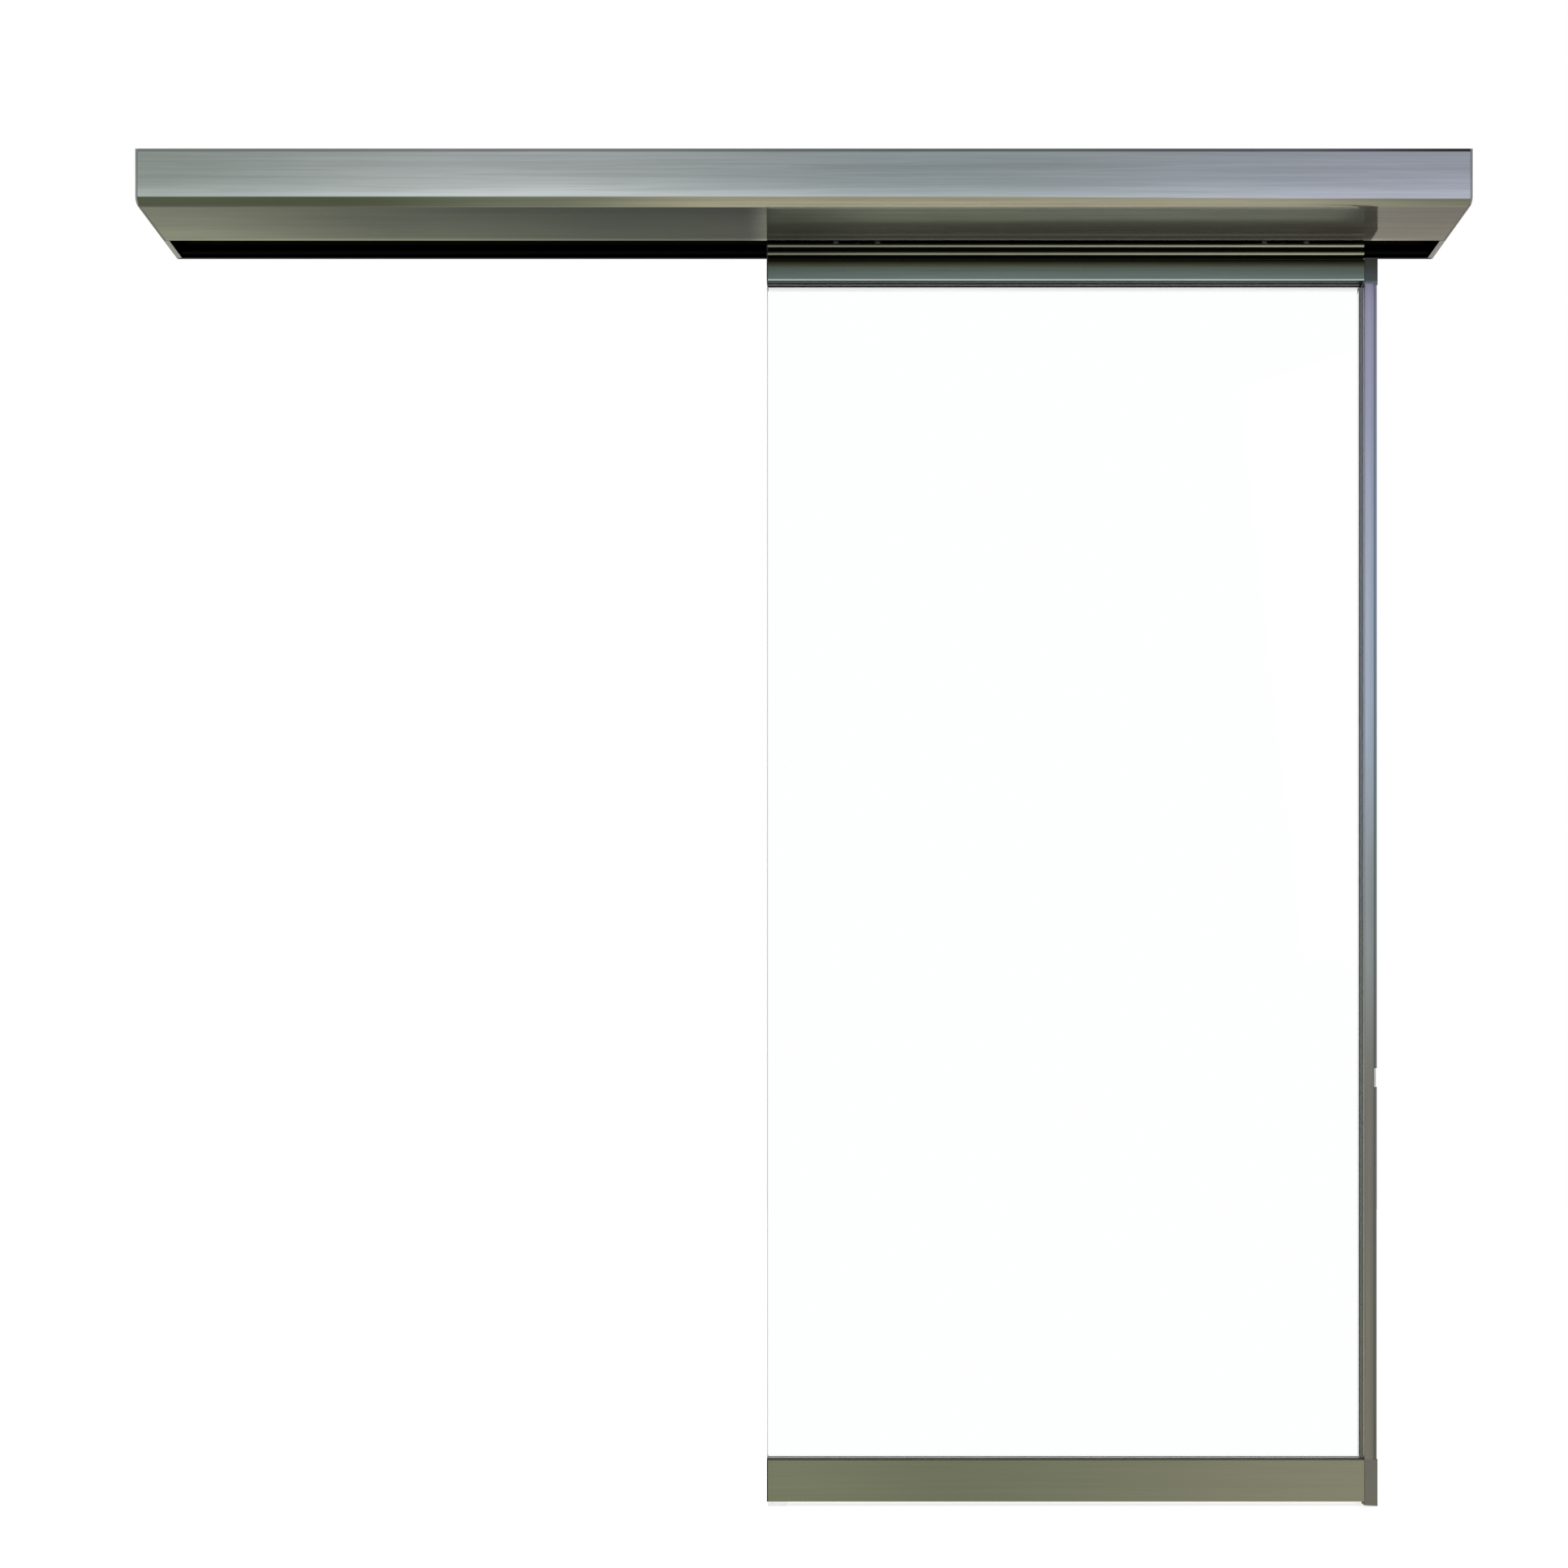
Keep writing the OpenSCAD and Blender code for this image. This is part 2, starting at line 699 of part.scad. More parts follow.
module gearbox_cover() {
    z0 = motor_z - gear_h / 2;
    z1 = motor_z + gear_h / 2;
    x = gear_x0 + gear_w;
    color("#5d6163") {
        along_x(x, x + 4) round_rect(gear_face_y - gear_d + 3, gear_face_y - 3, z0 + 3, z1 - 3, 4);
        for (y = [gear_face_y - gear_d + 9, gear_face_y - 9], z = [z0 + 9, z1 - 9])
            bar_x(x + 3.99, x + 6, y, z, 2.6);
    }
}

module motor_can() {
    color("#3a3c3e") difference() {
        bar_x(gear_x0 - motor_len, gear_x0, motor_y, motor_z, motor_r);
        for (dx = [12, motor_len - 14]) translate([gear_x0 - dx, motor_y, motor_z]) rotate([0, 90, 0])
            rotate_extrude() translate([motor_r, 0]) square([1.6, 2], center = true);
    }
}

module encoder_cap() {
    x = gear_x0 - motor_len;
    color("#222425") {
        bar_x(x - 22, x, motor_y, motor_z, motor_r - 3);
        bar_x(x - 26, x - 21.99, motor_y, motor_z, motor_r - 8);
    }
}

module motor_bracket() {
    drop_z = motor_z - gear_h / 2 + 4;
    x0 = motor_bolt_x[0] - 9;
    x1 = motor_bolt_x[1] + 9;
    color("#9da2a4") difference() {
        union() {
            block(x0, x1, gear_face_y, gear_face_y + bracket_t, drop_z, hang_z);
            block(x0, x1, channel_y[1] - 10, gear_face_y + 0.01, hang_z - bracket_t, hang_z);
        }
        bar_y(drive_x, gear_face_y - 1, gear_face_y + bracket_t + 1, pulley_z, shaft_r + 2);
        for (x = motor_bolt_x, y = channel_y)
            translate([x, y, hang_z - bracket_t - 1]) cylinder(h = bracket_t + 2, r = 3);
    }
}

module idler_bracket() {
    fork_gap = 1;
    rear = [flange_y[1] + fork_gap, flange_y[1] + fork_gap + 3];
    front = [flange_y[0] - fork_gap - 3, flange_y[0] - fork_gap];
    x0 = idler_x - 24;
    x1 = idler_x + 24;
    color("#9da2a4") difference() {
        union() {
            for (f = [rear, front]) along_y(f[0], f[1]) {
                round_rect(x0, x1, pulley_z - 12, hang_z - 4, 8);
                rect(x0, x1, pulley_z, hang_z);
            }
            block(x0, x1, channel_y[0] - 9, rear[1], hang_z - bracket_t, hang_z);
            block(x0 - 3, x0 + 0.01, channel_y[0] - 9, channel_y[0] + 9, hang_z - 20, hang_z);
        }
        bar_y(idler_x, front[0] - 1, rear[1] + 1, pulley_z, idler_axle_r);
        bar_x(x0 - 4, x0 + 1, channel_y[0], hang_z - 12, 3);
        for (x = [x0 + 10, x1 - 10])
            translate([x, channel_y[0], hang_z - bracket_t - 1]) cylinder(h = bracket_t + 2, r = 3);
    }
}

module idler_axle() {
    head_t = 2.5;
    y0 = flange_y[0] - 4 - head_t;
    y1 = flange_y[1] + 4;
    color("#85888b") {
        bar_y(idler_x, y0 + 1, y1 + 1, pulley_z, idler_axle_r);
        bar_y(idler_x, y0, y0 + head_t, pulley_z, idler_axle_r + 3);
        bar_y(idler_x, y1, y1 + 1.5, pulley_z, idler_axle_r + 1.5);
    }
}

module tension_anchor() {
    x1 = idler_x - 24 - 3 - 14;
    color("#9da2a4") difference() {
        block(x1 - 8, x1, channel_y[0] - 9, channel_y[0] + 9, hang_z - 20, hang_z);
        bar_x(x1 - 9, x1 + 1, channel_y[0], hang_z - 12, 3);
    }
}

module tension_screw() {
    x0 = idler_x - 24 - 3 - 14 - 8;
    color("#c3c5c6") {
        hex_x(x0 - 4, x0, channel_y[0], hang_z - 12, 10);
        bar_x(x0 - 2, x0 + 34, channel_y[0], hang_z - 12, 3);
    }
}

// Belt clamp on the leading carriage
module belt_clamp_arm() {
    arm_top = belt_under_z - part_c;
    y0 = belt_y - clamp_half;
    color("#a7abad") difference() {
        union() {
            block(clamp_x - clamp_len / 2, clamp_x + clamp_len / 2, plate_front_y - arm_leg_t, plate_front_y,
                arm_top - arm_leg_t, arm_top + 12);
            block(clamp_x - clamp_len / 2, clamp_x + clamp_len / 2, y0, plate_front_y, arm_top - arm_leg_t, arm_top);
        }
        for (dx = [-16, 16], side = [-1, 1])
            translate([clamp_x + dx, belt_y + side * (belt_w / 2 + 3), arm_top - arm_leg_t - 1])
                cylinder(h = arm_leg_t + 2, r = screw_r);
    }
}

module belt_clamp_jaws() {
    z0 = belt_tooth_z + part_c;
    color("#6d7174") difference() {
        union() {
            block(clamp_x - clamp_len / 2, clamp_x + clamp_len / 2, belt_y - clamp_half, belt_y + clamp_half,
                z0, z0 + 4);
            for (side = [-1, 1]) {
                y = belt_y + side * (belt_w / 2 + 3);
                block(clamp_x - clamp_len / 2, clamp_x + clamp_len / 2, y - 2.5, y + 2.5,
                    belt_under_z - part_c, z0 + 0.01);
            }
        }
        for (dx = [-16, 16], side = [-1, 1])
            translate([clamp_x + dx, belt_y + side * (belt_w / 2 + 3), belt_under_z - 1])
                cylinder(h = z0 - belt_under_z + 6, r = screw_r);
    }
}

module belt_clamp_screws() {
    z0 = belt_under_z - part_c - arm_leg_t - 1;
    z1 = belt_tooth_z + part_c + 4;
    color("#c9cbcc") for (dx = [-16, 16], side = [-1, 1])
        translate([clamp_x + dx, belt_y + side * (belt_w / 2 + 3), z0]) {
            cylinder(h = z1 - z0 + 0.01, r = screw_r);
            translate([0, 0, z1 - z0]) cylinder(h = 2, r = screw_r + 1.6);
        }
}

// Electronics
module control_case() {
    x0 = control_x[0];
    x1 = control_x[1];
    color("#2c2f31") difference() {
        translate([0, case_front_y, 0]) along_y(0, case_back_y - case_front_y)
            round_rect(x0, x1, case_z, hang_z, 4);
        for (i = [0 : 13]) block(x0 + 20 + i * 9, x0 + 24 + i * 9, case_front_y - 1, case_front_y + 2,
            hang_z - 24, hang_z - 10);
        block(x1 - terminal_bay, x1 - 14, case_front_y - 1, case_front_y + 12, case_z + 6, case_z + 24);
        for (i = [0 : floor((control_len - 50) / 34)]) block(x0 + 20 + i * 34, x0 + 22 + i * 34, case_front_y + 12, case_back_y - 12,
            case_z - 1, case_z + 2);
    }
}

module control_terminals() {
    color("#4d7f5a") for (i = [0 : 10]) {
        x = control_x[1] - terminal_bay + 5 + i * terminal_step;
        difference() {
            block(x, x + 10, case_front_y + 2, case_front_y + 12, case_z + 8, case_z + 22);
            bar_y(x + 5, case_front_y + 1, case_front_y + 4, case_z + 15, 2);
        }
    }
}

module power_supply() {
    x0 = supply_x[0];
    x1 = supply_x[1];
    color("#a5a9aa") difference() {
        block(x0, x1, case_front_y + 4, case_back_y, case_z + 4, hang_z);
        for (i = [0 : floor((supply_len - 60) / vent_step)], j = [0 : 2])
            translate([x0 + 24 + i * vent_step + (j % 2) * vent_step / 2, case_front_y + 3, case_z + 18 + j * 12])
                rotate([-90, 0, 0]) cylinder(h = 3, r = 3);
    }
}

module battery_pack() {
    color("#20262c") {
        translate([0, case_front_y + 6, 0]) along_y(0, case_back_y - case_front_y - 17)
            round_rect(battery_x[0], battery_x[1], case_z + 6, hang_z, 3);
        block(battery_x[0] + 30, battery_x[1] - 30, case_front_y + 5, case_front_y + 6.01, case_z + 14, hang_z - 12);
    }
}

module channel_bolts() {
    spots = concat(
        [for (x = motor_bolt_x, y = channel_y) [x, y]],
        [for (x = [idler_x - 14, idler_x + 14]) [x, channel_y[0]]]
    );
    color("#c3c5c6") for (s = spots) {
        translate([s[0], s[1], hang_z - bracket_t - 2]) cylinder(h = bracket_t + 6, r = 3);
        hex_z(s[0], s[1], hang_z - bracket_t - screw_head_h, hang_z - bracket_t, 10);
        translate([s[0] - 6, s[1] - 5, hang_z + channel_lip]) cube([12, 10, 3]);
    }
}

// Leaf
module top_rail_outline() {
    y0 = leaf_y - leaf_t / 2;
    y1 = leaf_y + leaf_t / 2;
    rect(y0, y1, clamp_z + edge_r, clamp_z + clamp_h);
    rect(y0 + edge_r, y1 - edge_r, clamp_z, clamp_z + clamp_h);
    for (y = [y0 + edge_r, y1 - edge_r]) translate([y, clamp_z + edge_r]) circle(edge_r);
    rect(leaf_y - neck_half, leaf_y + neck_half, clamp_z, rail_top_z);
    for (z = bead_z) {
        rect(y0 + bead_half, y1 - bead_half, z - bead_half, z + bead_half);
        for (y = [y0 + bead_half, y1 - bead_half]) translate([y, z]) circle(bead_half);
    }
}

module top_rail_section() {
    difference() {
        top_rail_outline();
        rect(leaf_y - channel_half, leaf_y + channel_half, clamp_z - 1, clamp_z + channel_deep);
        for (side = [-1, 1]) {
            a = leaf_y + side * (channel_half + profile_t);
            b = leaf_y + side * (leaf_t / 2 - profile_t);
            rect(min(a, b), max(a, b), clamp_z + profile_t, clamp_z + clamp_h - profile_t);
        }
        rect(leaf_y - nut_af / 2 - 0.5, leaf_y + nut_af / 2 + 0.5, rail_top_z - 11, rail_top_z - 4);
        rect(leaf_y - bolt_r - 0.5, leaf_y + bolt_r + 0.5, rail_top_z - 5, rail_top_z + 1);
        rect(leaf_y - neck_half + 3, leaf_y + neck_half - 3, clamp_z + channel_deep + 3, rail_top_z - 14);
    }
}

module top_rail() {
    color("#64706b") along_x(leaf_x + cap_t, stile_x) top_rail_section();
}

module glass_slot(x0, x1) {
    block(x0, x1, leaf_y - glass_t / 2, leaf_y + glass_t / 2, glass_bottom_z, glass_top_z);
}

module top_rail_end_cap() {
    color("#2a2d2b") difference() {
        along_x(leaf_x, leaf_x + cap_t) top_rail_outline();
        glass_slot(leaf_x - 1, leaf_x + cap_t + 1);
    }
}

module top_corner_block() {
    y0 = leaf_y - leaf_t / 2;
    y1 = leaf_y + leaf_t / 2;
    color("#474b48") difference() {
        translate([0, 0, clamp_z - block_drop]) linear_extrude(clamp_h + block_drop + cap_rise)
            round_rect(stile_x, lead_x, y0, y1, 2.5);
        glass_slot(stile_x - 1, glass_end_x);
    }
}

module bottom_rail_outline() {
    y0 = leaf_y - leaf_t / 2;
    y1 = leaf_y + leaf_t / 2;
    r = 2;
    rect(y0, y1, leaf_bottom_z, base_top_z - r);
    rect(y0 + r, y1 - r, leaf_bottom_z, base_top_z);
    for (y = [y0 + r, y1 - r]) translate([y, base_top_z - r]) circle(r);
}

module guide_groove() {
    rect(leaf_y - guide_half, leaf_y + guide_half, leaf_bottom_z - 20, leaf_bottom_z + guide_deep);
}

module bottom_rail() {
    color("#767a62") along_x(leaf_x + cap_t, stile_x) difference() {
        bottom_rail_outline();
        rect(leaf_y - channel_half, leaf_y + channel_half, base_top_z - channel_deep, base_top_z + 1);
        guide_groove();
        for (side = [-1, 1]) {
            a = leaf_y + side * (channel_half + profile_t);
            b = leaf_y + side * (leaf_t / 2 - profile_t);
            rect(min(a, b), max(a, b), leaf_bottom_z + profile_t, base_top_z - profile_t);
        }
    }
}

module bottom_rail_end_cap() {
    color("#34372c") difference() {
        along_x(leaf_x, leaf_x + cap_t) difference() {
            bottom_rail_outline();
            guide_groove();
        }
        glass_slot(leaf_x - 1, leaf_x + cap_t + 1);
    }
}

module bottom_corner_block() {
    drop = foot_drop[1];
    y0 = leaf_y - leaf_t / 2;
    y1 = leaf_y + leaf_t / 2;
    color("#696858") difference() {
        translate([0, 0, leaf_bottom_z - drop]) linear_extrude(base_rail_h + drop)
            round_rect(stile_x, lead_x, y0, y1, 2.5);
        along_y(y0 - 1, y1 + 1) polygon([
            [stile_x - 1, leaf_bottom_z - drop - 1],
            [lead_x, leaf_bottom_z - drop - 1],
            [lead_x, leaf_bottom_z - drop],
            [stile_x, leaf_bottom_z - foot_drop[0]],
            [stile_x - 1, leaf_bottom_z - foot_drop[0]]
        ]);
        along_x(stile_x - 1, lead_x + 1) guide_groove();
        glass_slot(stile_x - 1, glass_end_x);
    }
}

module stile_section() {
    y0 = leaf_y - leaf_t / 2;
    y1 = leaf_y + leaf_t / 2;
    wall = profile_t;
    difference() {
        round_rect(stile_x, stile_front_x, y0, y1, 2.5);
        translate([stile_x - 1, leaf_y - channel_half]) square([stile_channel + 1, 2 * channel_half]);
        for (side = [-1, 1]) {
            a = leaf_y + side * (channel_half + wall);
            b = leaf_y + side * (leaf_t / 2 - wall);
            translate([stile_x + wall, min(a, b)]) square([stile_front_x - stile_x - 2 * wall, abs(b - a)]);
        }
        translate([stile_front_x - 2.2, leaf_y - 4.5]) square([3.2, 9]);
    }
}

stile_z = [base_top_z, clamp_z - block_drop];

module leading_stile() {
    color("#85838f") translate([0, 0, stile_z[0]]) linear_extrude(stile_z[1] - stile_z[0]) stile_section();
}

module nose_seal() {
    half = leaf_t / 2 - 1;
    r = nose_t - 0.01;
    color("#5f6d7c") difference() {
        translate([0, 0, stile_z[0]]) linear_extrude(stile_z[1] - stile_z[0]) difference() {
            union() {
                translate([stile_front_x, leaf_y - half + r]) square([nose_t, 2 * (half - r)]);
                intersection() {
                    for (y = [leaf_y - half + r, leaf_y + half - r]) translate([stile_front_x, y]) circle(r);
                    translate([stile_front_x, leaf_y - half]) square([nose_t, 2 * half]);
                }
                translate([stile_front_x - 2, leaf_y - 4.2]) square([2.01, 8.4]);
            }
            translate([stile_front_x + 1.5, leaf_y - half + r]) square([nose_t - 3, 2 * (half - r)]);
        }
        block(stile_front_x - 3, lead_x + 1, leaf_y - leaf_t, leaf_y + leaf_t,
            keeper_z - keeper_len / 2 - 0.5, keeper_z + keeper_len / 2 + 0.5);
    }
}

module edge_keeper() {
    z0 = keeper_z - keeper_len / 2;
    z1 = keeper_z + keeper_len / 2;
    y0 = leaf_y - leaf_t / 2 + 2;
    y1 = leaf_y + leaf_t / 2 - 2;
    color("#c9cac8") difference() {
        union() {
            block(stile_front_x, stile_front_x + 3, y0, y1, z0, z1);
            block(stile_front_x - 2, stile_front_x + 0.01, leaf_y - 4.2, leaf_y + 4.2, z0, z1);
        }
        for (z = [z0 + 6, z1 - 6]) bar_x(stile_front_x - 3, stile_front_x + 4, leaf_y, z, 1.6);
    }
}

module glass_pane() {
    color([0.86, 0.93, 0.91, 0.3]) block(leaf_x, glass_end_x, leaf_y - glass_t / 2, leaf_y + glass_t / 2,
        glass_bottom_z, glass_top_z);
}

module gasket_section(mouth) {
    deep = channel_deep;
    lip = 0.8;
    square_z = mouth > 0 ? -deep : 0;
    difference() {
        union() {
            translate([-channel_half, square_z]) square([2 * channel_half, deep]);
            translate([-channel_half - 0.8, mouth > 0 ? 0 : -lip]) square([2 * channel_half + 1.6, lip]);
        }
        translate([-glass_t / 2, mouth > 0 ? -deep + gasket_end_t : -lip - 1])
            square([glass_t, deep - gasket_end_t + lip + 1]);
    }
}

module top_gasket() {
    color("#20241f") along_x(leaf_x + cap_t, stile_x) translate([leaf_y, clamp_z]) gasket_section(-1);
}

module bottom_gasket() {
    color("#20241f") along_x(leaf_x + cap_t, stile_x) translate([leaf_y, base_top_z]) gasket_section(1);
}

module stile_gasket() {
    lip = 1.6;
    half = channel_half;
    color("#20241f") difference() {
        union() {
            block(stile_x, stile_x + stile_channel, leaf_y - half, leaf_y + half, stile_z[0], stile_z[1]);
            block(stile_x - lip, stile_x, leaf_y - half - 0.8, leaf_y + half + 0.8, stile_z[0] + lip, stile_z[1]);
        }
        block(stile_x - lip - 1, glass_end_x, leaf_y - glass_t / 2, leaf_y + glass_t / 2, stile_z[0] - 1,
            stile_z[1] + 1);
    }
}

module guide_base() {
    color("#b4b6b6") difference() {
        block(guide_x[0], guide_x[1], leaf_y - 14, leaf_y + 14, floor_z, floor_z + guide_base_t);
        for (x = guide_hole_x) translate([x, leaf_y - guide_hole_y, floor_z - 1])
            cylinder(h = guide_base_t + 2, r = 2.25);
    }
}

module guide_blade() {
    blade = guide_half - part_c;
    color("#3a3d3f") block(guide_x[0], guide_x[1], leaf_y - blade, leaf_y + blade,
        floor_z + guide_base_t, leaf_bottom_z + guide_deep - 4);
}

carrier_profile();
running_rail();
rail_damping_strip();
end_plate(-1);  // end_plate_left
end_plate(1);  // end_plate_right
end_plate_screws();
front_cover();
cover_clips();
stop_brackets();
stop_buffers();
gearbox_housing();
gearbox_cover();
motor_can();
encoder_cap();
motor_bracket();
output_shaft();
drive_pulley();
toothed_belt();
idler_pulley();
idler_axle();
idler_bracket();
tension_anchor();
tension_screw();
control_case();
control_terminals();
power_supply();
battery_pack();
channel_bolts();
cable_grommet();
top_rail();
top_rail_end_cap();
top_corner_block();
bottom_rail();
bottom_rail_end_cap();
bottom_corner_block();
leading_stile();
nose_seal();
glass_pane();
top_gasket();
bottom_gasket();
stile_gasket();
edge_keeper();
carriage_plate(carriage_x[0]);  // carriage_plate_1
carriage_plate(carriage_x[1]);  // carriage_plate_2
wheel_axles(carriage_x[0]);  // wheel_axles_1
wheel_axles(carriage_x[1]);  // wheel_axles_2
wheel(carriage_x[0] - wheel_base / 2);  // wheel_1
wheel(carriage_x[0] + wheel_base / 2);  // wheel_2
wheel(carriage_x[1] - wheel_base / 2);  // wheel_3
wheel(carriage_x[1] + wheel_base / 2);  // wheel_4
counter_roller(carriage_x[0]);  // counter_roller_1
counter_roller(carriage_x[1]);  // counter_roller_2
hanger_bolts();
hanger_nuts();
belt_clamp_arm();
belt_clamp_jaws();
belt_clamp_screws();
guide_base();
guide_blade();
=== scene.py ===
import math

import bpy
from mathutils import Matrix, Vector


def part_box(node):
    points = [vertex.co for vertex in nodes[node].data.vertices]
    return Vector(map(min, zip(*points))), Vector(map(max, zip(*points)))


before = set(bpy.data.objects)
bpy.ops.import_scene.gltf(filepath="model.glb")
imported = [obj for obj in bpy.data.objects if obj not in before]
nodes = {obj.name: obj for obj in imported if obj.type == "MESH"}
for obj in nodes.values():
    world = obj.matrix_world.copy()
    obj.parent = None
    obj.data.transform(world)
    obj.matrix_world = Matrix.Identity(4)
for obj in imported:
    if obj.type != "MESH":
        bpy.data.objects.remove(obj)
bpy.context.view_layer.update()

# Automatic sliding door: procedural materials for the CAD solids, and the light, floor and camera.
# The solids have every shape that is seen, so the floor is the only mesh that is made here.

# Places in the row frame and sizes, in metres

COVER_LO, COVER_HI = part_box("front_cover")
RAIL_LO, RAIL_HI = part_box("top_rail")
BASE_LO, BASE_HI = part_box("bottom_rail")
STILE_LO, STILE_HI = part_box("leading_stile")
GLASS_LO, GLASS_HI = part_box("glass_pane")
_, BODY_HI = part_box("carrier_profile")
SOFFIT = COVER_LO.z
PASSAGE_H = 2.1
FLOOR = SOFFIT - PASSAGE_H
FLOOR_HALF = 8.0
# The cover's lower front edge, and the neck, painted black with shade, that stands on the top rail
CORNER_R = 0.010
NECK_H = 0.0286
# The steel bearings in the wheels and in the counter rollers
WHEEL_BEARING_R = 0.011
ROLLER_BEARING_R = 0.004

QUARTER_TURN = math.pi / 2

# The camera that was solved from the photo, with its shifts as shares of the picture's width
EYE = (0.021, -2.676, SOFFIT - 1.442)
SENSOR_MM = 36
LENS_MM = 36.325
LENS_SHIFT_X, LENS_SHIFT_Y = -0.0212, 0.209
CLIP_START, CLIP_END = 0.05, 60

# The world's light on the object, and the glow that the camera sees on the floor, where 1 is white
ROOM_LIGHT = 0.72
FLOOR_WHITE = 0.9
LAMP_SIZE = 2.5

# Sockets that share their name with another one of their node go by number
MIX_A, MIX_B, MIX_RESULT = 6, 7, 2
FROM_START, FROM_END, TO_START, TO_END = 1, 2, 3, 4


def srgb(r, g, b):
    """A colour given as 0 to 255 per channel, as the linear colour that Blender uses."""

    def channel(v):
        v = v / 255
        return v / 12.92 if v <= 0.04045 else ((v + 0.055) / 1.055) ** 2.4

    return (channel(r), channel(g), channel(b), 1.0)


def grey(v):
    """A neutral factor, to multiply a colour by."""
    return (v, v, v, 1.0)


# Painted shade: the black of the shaded slot and of the recess on the top rail
SLOT_SHADE_BLACK = srgb(7, 7, 6)
# Painted reflection: the near white that a polished face shows of the white room, put on faces that
# would otherwise be in shade
PAINTED_PALE_REFLECTION = srgb(246, 247, 246)
LIP_GREY = srgb(58, 64, 62)
BRIGHT_STEEL = srgb(176, 178, 180)


def mix_shader(tree, share, first, second):
    """The first shader where share is 0, and the second where it is 1."""
    n = tree.nodes.new("ShaderNodeMixShader")
    tree.links.new(share, n.inputs[0])
    tree.links.new(first, n.inputs[1])
    tree.links.new(second, n.inputs[2])
    return n.outputs[0]


class Surface:
    """A procedural material. Its calls each add a node or more and return the output socket."""

    NOISE_ROUGHNESS = 0.55
    # Nearly all values of a noise lie between these
    NOISE_LOW, NOISE_HIGH = 0.3, 0.7

    def __init__(self, name, **inputs):
        """inputs are the Principled node's, with underscores for the spaces in their names."""
        self.mat = bpy.data.materials.new(name)
        self.mat.use_nodes = True
        self.tree = self.mat.node_tree
        self.tree.nodes.clear()
        self.out = self.tree.nodes.new("ShaderNodeOutputMaterial")
        self.bsdf = self.tree.nodes.new("ShaderNodeBsdfPrincipled")
        self.tree.links.new(self.bsdf.outputs[0], self.out.inputs["Surface"])
        for key, value in inputs.items():
            self.bsdf.inputs[key.replace("_", " ")].default_value = value
        self.place = self.tree.nodes.new("ShaderNodeTexCoord")
        # Each CAD object sits at the origin, so its own coordinates are those of the row frame
        self.x, self.y, self.z = self.axes("Object")

    def axes(self, output):
        """The X, Y and Z of a texture coordinate: Object for places, Normal for directions."""
        split = self.tree.nodes.new("ShaderNodeSeparateXYZ")
        self.tree.links.new(self.place.outputs[output], split.inputs[0])
        return tuple(split.outputs)

    def put(self, value, socket):
        """Links value if it is a socket, and sets it if it is a number or a colour."""
        if isinstance(value, bpy.types.NodeSocket):
            self.tree.links.new(value, socket)
        else:
            socket.default_value = value

    def math(self, kind, a, b=0.0):
        """One Math node, of a kind such as ADD, on sockets or numbers."""
        n = self.tree.nodes.new("ShaderNodeMath")
        n.operation = kind
        self.put(a, n.inputs[0])
        self.put(b, n.inputs[1])
        return n.outputs[0]

    def both(self, *shares):
        """The product of several shares from 0 to 1."""
        total = shares[0]
        for share in shares[1:]:
            total = self.math("MULTIPLY", total, share)
        return total

    def unless(self, share):
        """1 where share is 0, and 0 where it is 1."""
        return self.math("SUBTRACT", 1.0, share)

    def band(self, value, start, end, kind="SMOOTHSTEP"):
        """0 before start and 1 after end, with a smooth step between. start may be the larger."""
        n = self.tree.nodes.new("ShaderNodeMapRange")
        n.interpolation_type = kind
        self.put(value, n.inputs[0])
        n.inputs[FROM_START].default_value = start
        n.inputs[FROM_END].default_value = end
        return n.outputs[0]

    def between(self, value, a, b, soft):
        """1 between a and b, falling to 0 over soft outside them."""
        return self.both(self.band(value, a - soft, a), self.band(value, b + soft, b))

    def ramp(self, value, stops, ease=True):
        """A colour that changes along value, from (place, colour) stops."""
        lo, hi = stops[0][0], stops[-1][0]
        spread = self.band(value, lo, hi, "LINEAR")
        n = self.tree.nodes.new("ShaderNodeValToRGB")
        n.color_ramp.interpolation = "EASE" if ease else "LINEAR"
        while len(n.color_ramp.elements) < len(stops):
            n.color_ramp.elements.new(0.5)
        for element, (where, colour) in zip(n.color_ramp.elements, stops):
            element.position = (where - lo) / (hi - lo)
            element.color = colour
        self.tree.links.new(spread, n.inputs[0])
        return n.outputs[0]

    def mix(self, share, a, b, kind="MIX"):
        """Colour a where share is 0, and colour b where it is 1."""
        n = self.tree.nodes.new("ShaderNodeMix")
        n.data_type = "RGBA"
        n.blend_type = kind
        self.put(share, n.inputs[0])
        self.put(a, n.inputs[MIX_A])
        self.put(b, n.inputs[MIX_B])
        return n.outputs[MIX_RESULT]

    def times(self, colour, factor):
        """colour multiplied by factor, which is a number or a socket."""
        if not isinstance(factor, bpy.types.NodeSocket):
            factor = grey(factor)
        return self.mix(1.0, colour, factor, "MULTIPLY")

    def scaled(self, share, colour, factor):
        """colour, multiplied by factor where share is 1."""
        return self.mix(share, colour, self.times(colour, factor))

    def noise(self, size, detail=3.0, waver=0.0):
        """Noise from 0 to 1 whose lumps measure size, in metres, along X, Y and Z."""
        m = self.tree.nodes.new("ShaderNodeMapping")
        self.tree.links.new(self.place.outputs["Object"], m.inputs["Vector"])
        m.inputs["Scale"].default_value = [1 / side for side in size]
        n = self.tree.nodes.new("ShaderNodeTexNoise")
        self.tree.links.new(m.outputs[0], n.inputs["Vector"])
        n.inputs["Scale"].default_value = 1.0
        n.inputs["Detail"].default_value = detail
        n.inputs["Roughness"].default_value = self.NOISE_ROUGHNESS
        n.inputs["Distortion"].default_value = waver
        return n.outputs["Fac"]

    def streaks(self, axis, length, width, detail=2.0, waver=0.0):
        """Noise drawn out along one axis."""
        return self.noise([length if letter == axis else width for letter in "XYZ"], detail, waver)

